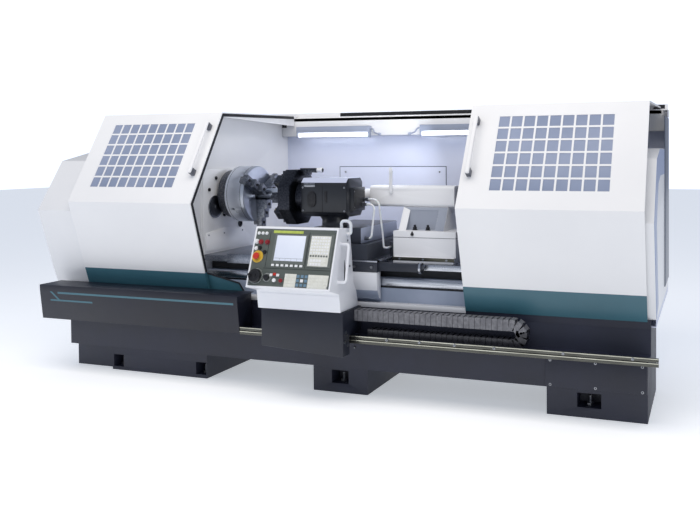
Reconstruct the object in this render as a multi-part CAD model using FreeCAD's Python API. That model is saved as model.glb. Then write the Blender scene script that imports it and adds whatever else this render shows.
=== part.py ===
import FreeCAD, Part
import math
import os

# Flat-bed CNC turning lathe, millimetres. +X to the tailstock, +Y to the rear, +Z up.
# The spindle axis lies at Y = 0 and the middle pedestal stands on the origin.

WAY_TOP = 848.0            # top of the bed ways above the floor
CENTRE_HEIGHT = 420.0      # spindle axis above the ways
BED_HEIGHT = 288.0         # bed ways above the base
BED_HALF_WIDTH = 290.0     # half the width of the bed at its ledge
BED_LEFT = -1060.0         # bed end at the headstock
BED_RIGHT = 1880.0         # bed end at the tailstock
BASE_HALF_DEPTH = 355.0    # half the depth of the base beam
PEDESTAL_HALF_DEPTH = 336.0
BEAM_BOTTOM = 169.0        # underside of the beam between the pedestals
COVER_LEFT = -2320.0       # outer left end of the fixed covers
COVER_OVERHANG = 110.0     # fixed covers beyond the bed's right end
REAR_WALL = 880.0          # inner face of the rear wall
ROOF_RISE = 582.0          # front edge of the doors' roof above the spindle axis
SHEET = 3.0                # sheet metal thickness
DOOR_LEFT = (-1999.0, -976.0)
DOOR_RIGHT_WIDTH = 1077.0
WINDOW_WIDTH = 706.0
SEAL_GAP = 15.0            # running gap between the bulkhead and a door's sheet
CHUCK_RADIUS = 200.0
CHUCK_FACE = -810.0        # front face of the chuck
CHUCK_LENGTH = 155.0
BAR_RADIUS = 40.0          # test bar held in the chuck
SPINDLE_RADIUS = 80.0
FLANGE_RADIUS = 170.0
SADDLE = (-330.0, 277.0)
TURRET_Y = -265.0          # turret axis in front of the spindle axis
TURRET_RADIUS = 195.0
QUILL_RADIUS = 45.0
STATION = (-400.0, 172.0)  # operator station, left and right faces
CHAIN_RIGHT = 1190.0       # centre of the energy chain's bend

SPINDLE_Z = WAY_TOP + CENTRE_HEIGHT
BASE_TOP = WAY_TOP - BED_HEIGHT
SILL = BASE_TOP + 40       # top of the sill in front of the bed
LIP = SILL + 5             # top of the door lip
RAIL_TOP = SILL - 163      # top of the front rail the station slides on
ROOF_FRONT = SPINDLE_Z + ROOF_RISE
HEADER_TOP = ROOF_FRONT + 5
COVER_RIGHT = BED_RIGHT + COVER_OVERHANG
DOOR_END = COVER_RIGHT - 47
DOOR_RIGHT = (DOOR_END - DOOR_RIGHT_WIDTH, DOOR_END)
V = FreeCAD.Vector
os.makedirs("parts", exist_ok=True)


def box(x0, x1, y0, y1, z0, z1):
    return Part.makeBox(x1 - x0, y1 - y0, z1 - z0, V(x0, y0, z0))


def rod_x(x0, x1, y, z, r):
    return Part.makeCylinder(r, x1 - x0, V(x0, y, z), V(1, 0, 0))


def rod_y(y0, y1, x, z, r):
    return Part.makeCylinder(r, y1 - y0, V(x, y0, z), V(0, 1, 0))


def rod_z(z0, z1, x, y, r):
    return Part.makeCylinder(r, z1 - z0, V(x, y, z0), V(0, 0, 1))


def prism_x(points, x0, x1):
    wire = Part.makePolygon([V(x0, y, z) for y, z in points] + [V(x0, *points[0])])
    return Part.Face(wire).extrude(V(x1 - x0, 0, 0))


def prism_y(points, y0, y1):
    wire = Part.makePolygon([V(x, y0, z) for x, z in points] + [V(points[0][0], y0, points[0][1])])
    return Part.Face(wire).extrude(V(0, y1 - y0, 0))


def inset(points, depth):
    # The open profile moved inward, to the right of its direction, with mitred corners.
    normals = []
    for (y0, z0), (y1, z1) in zip(points, points[1:]):
        length = math.hypot(y1 - y0, z1 - z0)
        normals.append(((z1 - z0) / length, (y0 - y1) / length))
    moved = []
    for i, (y, z) in enumerate(points):
        a = normals[max(i - 1, 0)]
        b = normals[min(i, len(normals) - 1)]
        k = depth / (1 + a[0] * b[0] + a[1] * b[1])
        moved.append((y + k * (a[0] + b[0]), z + k * (a[1] + b[1])))
    return moved


def band(points, depth):
    return points + inset(points, depth)[::-1]


def slab(p, q, u0, u1, n0, n1, x0, x1):
    # A bar along X on the line p to q: u runs along the line, n is outward, to its left.
    length = math.hypot(q[0] - p[0], q[1] - p[1])
    dy = (q[0] - p[0]) / length
    dz = (q[1] - p[1]) / length
    corners = [(u0, n0), (u1, n0), (u1, n1), (u0, n1)]
    return prism_x([(p[0] + u * dy - n * dz, p[1] + u * dz + n * dy) for u, n in corners], x0, x1)


def join(shapes):
    return shapes[0].fuse(shapes[1:]).removeSplitter()


def pipe(name, points, radius):
    # Straight runs joined by tangent arcs.
    p = [V(*c) for c in points]
    edges = []
    start = p[0]
    for i in range(1, len(p) - 1):
        a = (p[i - 1] - p[i]).normalize()
        b = (p[i + 1] - p[i]).normalize()
        half = (math.pi - a.getAngle(b)) / 2
        run = min(p[i].distanceToPoint(p[i - 1]), p[i].distanceToPoint(p[i + 1]))
        bend = 0.45 * run / math.tan(half)
        cut = bend * math.tan(half)
        t0 = p[i] + a * cut
        t1 = p[i] + b * cut
        middle = (a + b).normalize()
        centre = p[i] + middle * (bend / math.cos(half))
        edges.append(Part.makeLine(start, t0))
        edges.append(Part.Arc(t0, centre - middle * bend, t1).toShape())
        start = t1
        print(name, "bend", i, "radius", round(bend, 1))
    edges.append(Part.makeLine(start, p[-1]))
    path = Part.Wire(edges)
    circle = Part.Wire(Part.makeCircle(radius, p[0], p[1] - p[0]))
    return path.makePipeShell([circle], True, True)


def export(name, shape):
    shape.exportStep("parts/" + name + ".step")


# Base casting: three pedestals and a box beam, with brackets at the back and levelling pockets.
beam = box(-2195, DOOR_RIGHT[1], -BASE_HALF_DEPTH, BASE_HALF_DEPTH, BEAM_BOTTOM, BASE_TOP)
pedestals = [(-1835, -1024), (-195, 195), (DOOR_RIGHT[1] - 584, DOOR_RIGHT[1])]
solids = [beam, box(-2195, -1835, -286, PEDESTAL_HALF_DEPTH, 0, BEAM_BOTTOM)]
for x0, x1 in pedestals:
    solids.append(box(x0, x1, -PEDESTAL_HALF_DEPTH, PEDESTAL_HALF_DEPTH, 0, BEAM_BOTTOM))
gusset = [(BASE_HALF_DEPTH, BEAM_BOTTOM + 81), (BASE_HALF_DEPTH, BASE_TOP - SHEET)]
gusset += [(REAR_WALL - 20, BASE_TOP - SHEET), (REAR_WALL - 20, BASE_TOP - 50)]
for x in (-2000, -1430, 0, DOOR_RIGHT[1] - 293, DOOR_RIGHT[1] - 23):
    solids.append(prism_x(gusset, x - 10, x + 10))
base = join(solids)
hollows = []
pockets = [(-1822, -1735, 25), (-1115, -1030, 25), (-60, 60, 60)]
pockets.append((pedestals[2][0] + 181, pedestals[2][0] + 321, 60))
for x0, x1, z in pockets:
    hollows.append(box(x0, x1, -PEDESTAL_HALF_DEPTH - 1, -PEDESTAL_HALF_DEPTH + 120, z, z + 85))
base = base.cut(hollows)
screw_holes = [rod_z(-1, z + 5, (x0 + x1) / 2, -PEDESTAL_HALF_DEPTH + 60, 12) for x0, x1, z in pockets]
export("base_casting", base.cut(screw_holes))
feet = []
for x0, x1, z in pockets:
    x = (x0 + x1) / 2
    y = -PEDESTAL_HALF_DEPTH + 60
    feet.append(join([rod_z(0, z + 60, x, y, 11.95), rod_z(z, z + 16, x, y, 22)]))
export("levelling_screws", Part.makeCompound(feet))

# Bed casting: two rails with a ledge and a recess under each way, tied by a floor and ribs.
w = BED_HALF_WIDTH
wall = WAY_TOP - 37
ledge = BASE_TOP + 144
rail = [(-w + 5, BASE_TOP), (-w + 5, ledge - 14), (-w + 12, ledge - 14), (-w + 12, ledge), (-w, ledge)]
rail += [(-w, ledge + 48), (-w + 75, ledge + 48), (-w + 75, wall), (-w + 160, wall), (-w + 160, BASE_TOP)]
mirrored = [(-y, z) for y, z in rail]
solids = [prism_x(rail, BED_LEFT, BED_RIGHT), prism_x(mirrored, BED_LEFT, BED_RIGHT)]
solids.append(box(BED_LEFT, BED_RIGHT, -w + 160, w - 160, BASE_TOP, BASE_TOP + 30))
for i in range(8):
    x = BED_LEFT + 15 + i * (BED_RIGHT - BED_LEFT - 30) / 7
    solids.append(box(x - 15, x + 15, -w + 160, w - 160, BASE_TOP + 30, wall - 30))
export("bed_casting", join(solids))
ways = [box(BED_LEFT, BED_RIGHT, -w + 10, -w + 160, wall, WAY_TOP)]
ways.append(box(BED_LEFT, BED_RIGHT, w - 160, w - 10, wall, WAY_TOP))
export("bed_ways", Part.makeCompound(ways))

# Headstock: housing with the spindle bore, white face plate, bearings.
head_left = -1880.0
head_right = BED_LEFT - 18
shape = box(head_left, head_right, -300, 330, BASE_TOP, SPINDLE_Z + 182)
shape = shape.cut(rod_x(head_left - 1, head_right + 1, 0, SPINDLE_Z, SPINDLE_RADIUS + 15))
bearing_radius = SPINDLE_RADIUS + 50
seats = [rod_x(head_left - 1, head_left + 60, 0, SPINDLE_Z, bearing_radius)]
seats.append(rod_x(head_right - 70, head_right + 1, 0, SPINDLE_Z, bearing_radius))
export("headstock_housing", shape.cut(seats))
plate = box(head_right, head_right + 8, -290, 400, WAY_TOP + 2, SPINDLE_Z + 182)
plate = plate.fuse(rod_x(head_right + 8, head_right + 16, -159, SPINDLE_Z - 86, 79))
holes = [rod_x(head_right - 1, head_right + 9, 0, SPINDLE_Z, SPINDLE_RADIUS + 12)]
holes.append(rod_x(head_right - 1, head_right + 9, 148, SPINDLE_Z - 232, 24))
export("headstock_face_plate", plate.cut(holes))
rings = []
for x0, x1 in ((head_left, head_left + 60), (head_right - 70, head_right)):
    ring = rod_x(x0, x1, 0, SPINDLE_Z, bearing_radius)
    rings.append(ring.cut(rod_x(x0 - 1, x1 + 1, 0, SPINDLE_Z, SPINDLE_RADIUS + 0.05)))
export("spindle_bearings", Part.makeCompound(rings))

# Spindle with its flange nose and its belt pulley.
chuck_back = CHUCK_FACE - CHUCK_LENGTH
pulley = (-2010.0, -1950.0)
shaft = [rod_x(-2020, chuck_back - 75, 0, SPINDLE_Z, SPINDLE_RADIUS)]
shaft.append(rod_x(chuck_back - 75, chuck_back, 0, SPINDLE_Z, FLANGE_RADIUS))
shaft.append(rod_x(pulley[0], pulley[1], 0, SPINDLE_Z, bearing_radius))
export("spindle_shaft", join(shaft).cut(rod_x(-2021, chuck_back + 1, 0, SPINDLE_Z, 45)))

# Three-jaw chuck, its jaws and the bar it holds.
chuck = rod_x(chuck_back, CHUCK_FACE, 0, SPINDLE_Z, CHUCK_RADIUS)
chuck = chuck.makeChamfer(6, [e for e in chuck.Edges if e.Length > 500 and len(e.Vertexes) == 1])
cuts = [rod_x(chuck_back - 1, CHUCK_FACE + 1, 0, SPINDLE_Z, BAR_RADIUS + 10)]
JAW_ANGLES = (150, 30, 270)
for angle in JAW_ANGLES:
    slot = box(CHUCK_FACE - 30, CHUCK_FACE + 1, -23, 23, SPINDLE_Z + 30, SPINDLE_Z + CHUCK_RADIUS + 5)
    slot.rotate(V(0, 0, SPINDLE_Z), V(1, 0, 0), angle - 90)
    cuts.append(slot)
    socket = rod_z(SPINDLE_Z + CHUCK_RADIUS - 40, SPINDLE_Z + CHUCK_RADIUS + 5, CHUCK_FACE - 95, 0, 9)
    socket.rotate(V(0, 0, SPINDLE_Z), V(1, 0, 0), angle - 30)
    cuts.append(socket)
export("chuck_body", chuck.cut(cuts))
tip = SPINDLE_Z + BAR_RADIUS + 0.3
steps = ((CHUCK_FACE + 0.3, CHUCK_FACE + 40, 195), (CHUCK_FACE + 40, CHUCK_FACE + 64, 130))
steps += ((CHUCK_FACE + 64, CHUCK_FACE + 85, 65),)
for number, angle in enumerate(JAW_ANGLES, 1):
    solids = [box(CHUCK_FACE - 29.7, CHUCK_FACE + 0.3, -22.8, 22.8, tip + 15, tip + 180)]
    for x0, x1, length in steps:
        solids.append(box(x0, x1, -30, 30, tip, tip + length))
    jaw = join(solids)
    jaw.rotate(V(0, 0, SPINDLE_Z), V(1, 0, 0), angle - 90)
    export("jaw_%d" % number, jaw)
bar = join([rod_x(-930, -629, 0, SPINDLE_Z, BAR_RADIUS), rod_x(-690, -655, 0, SPINDLE_Z, BAR_RADIUS + 3)])
export("test_bar", bar)

# Main motor behind the headstock, its pulley, and the belt to the spindle.
motor_y = 520.0
motor_z = SPINDLE_Z - 478
motor = [rod_x(-1900, -1480, motor_y, motor_z, 125)]
motor.append(box(-1860, -1520, motor_y - 110, motor_y + 110, BASE_TOP, motor_z - 60))
motor.append(box(-1780, -1640, motor_y - 70, motor_y + 70, motor_z + 90, motor_z + 170))
motor = join(motor).cut(rod_x(-1901, -1700, motor_y, motor_z, 24.05))
export("main_motor", motor)
drive = join([rod_x(-2020, -1702, motor_y, motor_z, 24), rod_x(pulley[0], pulley[1], motor_y, motor_z, 70)])
export("motor_pulley", drive)


def belt_outline(extra):
    r1 = bearing_radius + 0.3 + extra
    r2 = 70.3 + extra
    span = math.hypot(motor_y, motor_z - SPINDLE_Z)
    aim = math.atan2(motor_z - SPINDLE_Z, motor_y)
    lean = math.acos((r1 - r2) / span)
    corners = [(r1 * math.cos(aim + lean), SPINDLE_Z + r1 * math.sin(aim + lean))]
    corners.append((motor_y + r2 * math.cos(aim + lean), motor_z + r2 * math.sin(aim + lean)))
    corners.append((motor_y + r2 * math.cos(aim - lean), motor_z + r2 * math.sin(aim - lean)))
    corners.append((r1 * math.cos(aim - lean), SPINDLE_Z + r1 * math.sin(aim - lean)))
    x0 = pulley[0] + 5
    x1 = pulley[1] - 5
    ends = [rod_x(x0, x1, 0, SPINDLE_Z, r1), rod_x(x0, x1, motor_y, motor_z, r2)]
    return join([prism_x(corners, x0, x1)] + ends)


export("drive_belt", belt_outline(8).cut(belt_outline(0)))

# Door profile from the lip up over the knee and back along the roof, and the fixed covers inside it.
B = (-362.0, SILL - 11)
U = (-413.0, SILL + 146)
K = (-560.0, SPINDLE_Z - 40)
T = (-192.0, ROOF_FRONT)
R = (840.0, ROOF_FRONT + 22)
profile = [B, U, K, T, R]
cover = [(-338.0, SILL), (-390.0, U[1]), (-515.0, SPINDLE_Z - 108), (-288.0, SPINDLE_Z + 244)]
cover += [(-30.0, SPINDLE_Z + 304), (REAR_WALL, SPINDLE_Z + 304)]
cover_end = cover + [(REAR_WALL, SILL)]


def fixed_cover(x0, x1, wall0, wall1, ring0, ring1):
    solids = [prism_x(band(cover, SHEET), x0, x1), prism_x(cover_end, wall0, wall1)]
    solids.append(prism_x(band(cover, 20), ring0, ring1))
    return solids


bulkhead = BED_LEFT - 30
right_mouth = COVER_RIGHT - 985
export("right_end_cover", join(fixed_cover(right_mouth, COVER_RIGHT, COVER_RIGHT - SHEET, COVER_RIGHT,
                                           right_mouth, right_mouth + SHEET)))

# The headstock cover ends in a sheet wall that closes the machining room round the headstock.
left_cover = fixed_cover(COVER_LEFT, bulkhead, COVER_LEFT, COVER_LEFT + SHEET, bulkhead - SHEET, bulkhead)
inner = inset(profile[1:], SHEET + SEAL_GAP)
wall = [(-390.0 + SHEET, inner[0][1])] + inner[1:-1] + [(790, HEADER_TOP - 18), (790, HEADER_TOP - 158)]
wall += [(REAR_WALL, HEADER_TOP - 158), (REAR_WALL, SILL), (-300, SILL), (-338 + 2 * SHEET, SILL + SHEET)]
room = prism_x(wall, bulkhead, bulkhead + SHEET)
room = room.cut([box(bulkhead - 1, bulkhead + 4, -300.3, 330.3, BASE_TOP, SPINDLE_Z + 182.3)])
export("headstock_end_cover", join(left_cover + [room]))

# Sliding doors: bent sheet with end returns, a window of square cut-outs, and shoes on lip and header.
slope = math.hypot(T[0] - K[0], T[1] - K[1])
u0 = slope * 0.159
u1 = slope * 0.886
window_rows = 6
window_columns = 9


def door(side, x0, x1, window_left, deep_left, deep_right, deep_edge, handle_x):
    shell = [prism_x(band(profile, SHEET), x0, x1)]
    shell.append(prism_x(band(profile, deep_left), x0, x0 + SHEET))
    shell.append(prism_x(band(profile, deep_right), x1 - SHEET, x1))
    shell.append(prism_x([(T[0] + 40, T[1] - 10), (795, R[1] - 3), (795, R[1] - 88), (T[0] + 40, T[1] - 35)],
                         deep_edge, deep_edge + SHEET))
    shell = join(shell).cut([box(x0 - 1, x1 + 1, -359, 0, SILL - 100, LIP + 3),
                             box(x0 - 1, x1 + 1, 796, 900, HEADER_TOP - 255, HEADER_TOP + 3)])
    shoes = []
    for x in (x0 + 90, x1 - 90):
        shoes.append(prism_x([(-365, LIP + 0.3), (-371, LIP + 20), (-352, LIP + 20), (-352, LIP + 0.3)],
                             x - 40, x + 40))
        shoes.append(box(x - 40, x + 40, R[0] - 32, R[0] - 2, HEADER_TOP + 0.3, R[1] - 1.5))
    cells = []
    pitch_x = WINDOW_WIDTH / window_columns
    pitch_u = (u1 - u0) / window_rows
    for i in range(window_columns):
        for j in range(window_rows):
            left = window_left + i * pitch_x + 6
            low = u0 + j * pitch_u + 6
            cells.append(slab(K, T, low, low + pitch_u - 12, -10, 10, left, left + pitch_x - 12))
    export(side + "_door_shell", join([shell] + shoes).cut(cells))
    glass = slab(K, T, u0 - 15, u1 + 15, -SHEET - 5, -SHEET - 0.02, window_left - 15,
                 window_left + WINDOW_WIDTH + 15)
    export(side + "_door_glass", glass)
    grip = [slab(K, T, slope * 0.29, slope * 0.35, 0, 42, handle_x - 14, handle_x + 14)]
    grip.append(slab(K, T, slope * 0.79, slope * 0.85, 0, 42, handle_x - 14, handle_x + 14))
    grip.append(slab(K, T, slope * 0.29, slope * 0.85, 42, 58, handle_x - 14, handle_x + 14))
    export(side + "_door_handle", join(grip))


door("left", DOOR_LEFT[0], DOOR_LEFT[1], -1868, 12, 24, DOOR_LEFT[1] - SHEET, -1030)
door("right", DOOR_RIGHT[0], DOOR_RIGHT[1], DOOR_RIGHT[0] + 183, 24, 12, DOOR_RIGHT[0], DOOR_RIGHT[0] + 54)

# Front: tray with the door lip, dark left panel, double rail, energy chain.
tray_left = -2242.0
tray_right = DOOR_RIGHT[1] + 19
lip_back = -BASE_HALF_DEPTH
tray_floor = RAIL_TOP - 40
solids = [box(tray_left, tray_right, lip_back - SHEET, lip_back, tray_floor, LIP)]
solids.append(box(tray_left, BED_LEFT, lip_back - SHEET, -300, SILL - SHEET, SILL))
solids.append(box(BED_LEFT, tray_right, lip_back - SHEET, -BED_HALF_WIDTH + 5, SILL - SHEET, SILL))
solids.append(box(tray_left, tray_right, -548, lip_back, tray_floor, tray_floor + SHEET))
solids.append(box(-606, tray_right, -548, -545, RAIL_TOP - 49, RAIL_TOP))
guard = [(-1005, SILL + 145), (-985, SILL + 145), (-742, SILL + 84), (-710, SILL + 10), (-710, SILL),
         (-1005, SILL)]
plate = prism_y(guard, -400, -320)
plate = plate.common(prism_x([(-334, SILL - 1), (-382, SILL + 146), (-379, SILL + 146), (-331, SILL - 1)],
                             -1010, -700))
solids.append(plate)
export("front_tray", join(solids))
low = tray_floor - SHEET
panel = [(-520.0, low), (-560.0, low), (-583.0, low + 200), (-585.0, low + 243), (-388.0, low + 243)]
solids = [prism_x(band(panel, SHEET), tray_left, -606)]
ends = [(-556, low + 6), (-580, low + 200), (-582, low + 240), (-420, low + 240), (-420, low + 6)]
solids.append(prism_x(ends, -609, -606))
solids.append(prism_x(ends, tray_left, tray_left + SHEET))
export("left_front_panel", join(solids))
rail_right = BED_RIGHT + 137
rails = [box(-606, rail_right, -560, -548, RAIL_TOP - 49, RAIL_TOP - 26)]
rails.append(box(-606, rail_right, -560, -548, RAIL_TOP - 23, RAIL_TOP))
export("front_rail", Part.makeCompound(rails))
link = 68.0
chain_y = (-500.0, -420.0)
low = tray_floor + SHEET
solids = [box(190, CHAIN_RIGHT, chain_y[0], chain_y[1], low + 114, low + 114 + link)]
solids.append(box(290, CHAIN_RIGHT, chain_y[0], chain_y[1], low, low + link))
bend = rod_y(chain_y[0], chain_y[1], CHAIN_RIGHT, low + 91, 91)
bend = bend.cut(rod_y(-600, -300, CHAIN_RIGHT, low + 91, 91 - link))
bend = bend.common(box(CHAIN_RIGHT, CHAIN_RIGHT + 200, -600, -300, low - 100, low + 300))
export("cable_chain", join(solids + [bend]))

# Rear: wall, chip pan, header with the upper door rail, lamps.
wall = box(COVER_LEFT, COVER_RIGHT, REAR_WALL, REAR_WALL + SHEET, BASE_TOP - SHEET, HEADER_TOP)
export("rear_wall", wall)
pan = [box(COVER_LEFT, COVER_RIGHT, BASE_HALF_DEPTH, REAR_WALL, BASE_TOP - SHEET, BASE_TOP)]
pan.append(box(COVER_LEFT, -2195, -345, BASE_HALF_DEPTH, BASE_TOP - SHEET, BASE_TOP))
pan.append(box(COVER_LEFT, COVER_LEFT + SHEET, -330, REAR_WALL, BASE_TOP, SILL))
pan.append(box(COVER_RIGHT - SHEET, COVER_RIGHT, -330, REAR_WALL, BASE_TOP, SILL))
pan.append(box(DOOR_RIGHT[1], COVER_RIGHT, -345, BASE_HALF_DEPTH, BASE_TOP - SHEET, BASE_TOP))
export("rear_chip_pan", join(pan))
header = [box(COVER_LEFT, COVER_RIGHT, 800, REAR_WALL, HEADER_TOP - SHEET, HEADER_TOP)]
low = HEADER_TOP - 155
header.append(box(COVER_LEFT, COVER_RIGHT, 800, 800 + SHEET, low, HEADER_TOP))
header.append(box(COVER_LEFT, COVER_RIGHT, 800, REAR_WALL, low, low + SHEET))
header.append(box(COVER_LEFT, COVER_RIGHT, 856, 868, HEADER_TOP, HEADER_TOP + 36))
export("header", join(header))
lamps = []
tubes = []
lamp_low = HEADER_TOP - 127
for x0, x1 in ((-930, -282), (148, 796)):
    lamps.append(box(x0, x1, 745, 800, lamp_low, lamp_low + 47))
    for x in (x0, x1 - 12):
        lamps.append(box(x, x + 12, 750, 792, lamp_low - 44, lamp_low))
    tubes.append(rod_x(x0 + 12, x1 - 12, 771, lamp_low - 22, 19))
lamp_bodies = [join(lamps[:3]), join(lamps[3:])]
export("lamp_housings", Part.makeCompound(lamp_bodies))
export("lamp_tubes", Part.makeCompound(tubes))

# Screws: pedestal plate, front rail and headstock face share one kind.
heads = []
for x in (pedestals[2][0] + 26, pedestals[2][0] + 291, pedestals[2][0] + 556):
    for z in (BEAM_BOTTOM + 16, BEAM_BOTTOM + 161):
        heads.append(rod_y(-BASE_HALF_DEPTH - 6, -BASE_HALF_DEPTH, x, z, 8))
for x in (430, 640, 860, 1100, 1500, 1880):
    heads.append(rod_y(-566, -560, x, RAIL_TOP - 12, 8))
for y, z in ((-226, 37), (-146, 117), (-51, -152), (230, 120)):
    heads.append(rod_x(head_right + 8, head_right + 16, y, SPINDLE_Z + z, 9))
export("machine_screws", Part.makeCompound(heads))

# Telescopic way covers: the first stage is fixed, the second travels at half the carriage's stroke.


def way_cover(name, x0, x1, half, rise, skirt, wiper):
    top = WAY_TOP + rise
    bottom = WAY_TOP - skirt
    solids = [box(x0, x1, -half, half, top - SHEET, top)]
    solids.append(box(x0, x1, -half, -half + SHEET, bottom, top))
    solids.append(box(x0, x1, half - SHEET, half, bottom, top))
    solids.append(box(x0, x0 + 12, -half, half, WAY_TOP + wiper, top))
    export(name, join(solids))


cover_half = BED_HALF_WIDTH + 6
way_cover("fixed_way_cover", BED_LEFT, -640, cover_half, 9, 32, 0)
way_cover("middle_way_cover", -873, -460, cover_half + 7, 22, 42, 9.3)
way_cover("carriage_way_cover", -640, SADDLE[0], cover_half + 14, 34, 50, 22.3)

# Carriage: saddle over the bed, apron in front, tow bar for the tailstock.
saddle_top = WAY_TOP + 121.7
saddle = box(SADDLE[0], SADDLE[1], -360, 360, WAY_TOP - 50, WAY_TOP + 20)
saddle = join([saddle, box(-250, 205, -350, 350, WAY_TOP + 20, saddle_top)])
saddle = saddle.cut([box(SADDLE[0] - 1, SADDLE[1] + 1, -w + 6, w - 6, WAY_TOP - 60, WAY_TOP + 0.3),
                     box(-60, 10, -351, 351, WAY_TOP + 60, saddle_top + 1)])
post = box(SADDLE[1] - 22, SADDLE[1] - 4, -95, -65, WAY_TOP + 20, WAY_TOP + 114)
export("saddle", join([saddle, post]))
apron_side = [(-360, WAY_TOP - 50), (-360, SILL + 82), (-330, SILL + 25), (-298, SILL + 10)]
apron_side.append((-298, WAY_TOP - 50))
export("apron", prism_x(apron_side, SADDLE[0] + 10, SADDLE[1]))
tow = [box(SADDLE[1], 545, -340, -310, WAY_TOP - 42, WAY_TOP + 10), rod_x(545, 572, -325, WAY_TOP - 16, 34)]
export("tow_bar", join(tow))

# Cross slide with the tool turret.
slide_bottom = saddle_top + 0.3
slide_top = saddle_top + 102.3
slide = [box(-195, 145, -310, 290, slide_bottom, slide_top)]
slide.append(box(-55, 5, -200, 200, saddle_top - 45, slide_bottom))
export("cross_slide", join(slide))
tz = SPINDLE_Z
c = 30
front = TURRET_Y - 120
back = TURRET_Y + 120
outline = [(front, tz - 123 + c), (front, tz + 128 - c), (front + c, tz + 128), (back - c, tz + 128)]
outline += [(back, tz + 128 - c), (back, tz - 123 + c), (back - c, tz - 123), (front + c, tz - 123)]
housing = prism_x(outline, -245, 80)
housing = housing.cut(rod_x(-246, -200, TURRET_Y, tz, 70))
housing = join([housing, rod_z(slide_top, tz - 123, -62, TURRET_Y, 85)])
terminal = box(80, 102, TURRET_Y - 60, TURRET_Y + 114, tz - 90, tz + 64)
export("turret_housing", join([housing, terminal]))
corners = []
for i in range(8):
    a = math.pi / 8 + i * math.pi / 4
    corners.append((TURRET_Y + TURRET_RADIUS * math.cos(a), tz + TURRET_RADIUS * math.sin(a)))
disc = [prism_x(corners, -385, -300), rod_x(-300, -246, TURRET_Y, tz, 100)]
disc.append(rod_x(-246, -205, TURRET_Y, tz, 69.7))
export("turret_disc", join(disc))
holders = []
for i in range(8):
    block = box(-430, -385, TURRET_Y - 34, TURRET_Y + 34, tz + 95, tz + 172)
    tool = box(-452, -430, TURRET_Y - 16, TURRET_Y + 16, tz + 118, tz + 150)
    block = join([block, tool])
    block.rotate(V(0, TURRET_Y, tz), V(1, 0, 0), i * 45)
    holders.append(block)
sleeve = join([box(-300, -250, TURRET_Y - 34, TURRET_Y + 34, tz + 145, tz + 190),
               box(-250, -190, TURRET_Y - 26, TURRET_Y + 26, tz + 161, tz + 190),
               rod_x(-190, -150, TURRET_Y, tz + 176, 14)])
sleeve = sleeve.cut(rod_x(-301, -240, TURRET_Y, tz, 101))
export("tool_holders", Part.makeCompound(holders + [sleeve]))
hose = pipe("hose_short", [(102, -190, 1217), (190, -190, 1217), (190, -250, 1000), (145, -250, 1000)], 7)
export("hose_short", hose)
hose = pipe("hose_long", [(102, -165, 1250), (205, -165, 1250), (228, -150, 1010), (234, -150, 930),
                          (260, -150, 930), (260, -95, 930)], 7)
export("hose_long", hose)

# Tailstock with its quill, centre and clamp lever.
deck = WAY_TOP + 202
foot = [box(335, 745, -230, 230, WAY_TOP + 0.3, WAY_TOP + 37), box(328, 754, -210, 210, WAY_TOP + 37, deck)]
foot.append(box(360, 720, -w + 165, w - 165, WAY_TOP - 60, WAY_TOP + 5))
foot.append(prism_x([(-170, deck), (-75, SPINDLE_Z - 71), (75, SPINDLE_Z - 71), (170, deck)], 349, 660))
barrel = box(104, 702, -75, 75, SPINDLE_Z - 71, SPINDLE_Z + 69)
barrel = barrel.makeFillet(22, [e for e in barrel.Edges if e.Length > 590])
body = join(foot + [barrel])
body = body.cut([rod_x(103, 703, 0, SPINDLE_Z, QUILL_RADIUS + 0.05),
                 prism_x([(-175, deck + 2), (-175, deck + 110), (-85, deck + 128), (-120, deck + 2)], 400, 600)])
body = body.cut(rod_y(-90, -50, 258, SPINDLE_Z + 30, 12.05))
export("tailstock_body", body)
quill = rod_x(40, 520, 0, SPINDLE_Z, QUILL_RADIUS).cut(rod_x(39, 140, 0, SPINDLE_Z, 22))
export("quill", quill)
cone = Part.makeCone(0.5, 22, 34, V(2, 0, SPINDLE_Z), V(1, 0, 0))
export("dead_centre", join([cone, rod_x(36, 139, 0, SPINDLE_Z, 22)]))
lever = [rod_y(-88, -56, 258, SPINDLE_Z + 30, 12), box(248, 268, -88, -76, SPINDLE_Z + 30, SPINDLE_Z + 160)]
lever.append(rod_z(SPINDLE_Z + 150, SPINDLE_Z + 190, 258, -82, 12))
export("quill_lever", join(lever))

# Operator station: housing, face, controls, apron that rides the rail, side handle, conduit.
P = (-800.0, RAIL_TOP + 307)
Q = (-671.0, RAIL_TOP + 667)
SKIRT_TOP = RAIL_TOP + 155
face_length = math.hypot(Q[0] - P[0], Q[1] - P[1])
side = [P, Q, (-524, RAIL_TOP + 655), (-502, RAIL_TOP + 513), (-478, RAIL_TOP + 314), (-440, RAIL_TOP + 253)]
side += [(-412, SKIRT_TOP), (-662, SKIRT_TOP), (-679, RAIL_TOP + 270)]
housing = prism_x(side, STATION[0], STATION[1])
housing = housing.cut([slab(P, Q, 14, face_length - 14, -8, 30, STATION[0] + 12, STATION[1] - 12),
                       slab(P, Q, 30, face_length - 30, -100, -8, STATION[0] + 28, STATION[1] - 28)])
export("station_housing", housing)
normal = V(0, -(Q[1] - P[1]) / face_length, (Q[0] - P[0]) / face_length)


def on_face(x, u):
    k = u / face_length
    return V(x, P[0] + (Q[0] - P[0]) * k, P[1] + (Q[1] - P[1]) * k)


def stub(x, u, n0, n1, r):
    return Part.makeCylinder(r, n1 - n0, on_face(x, u) + normal * n0, normal)


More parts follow.
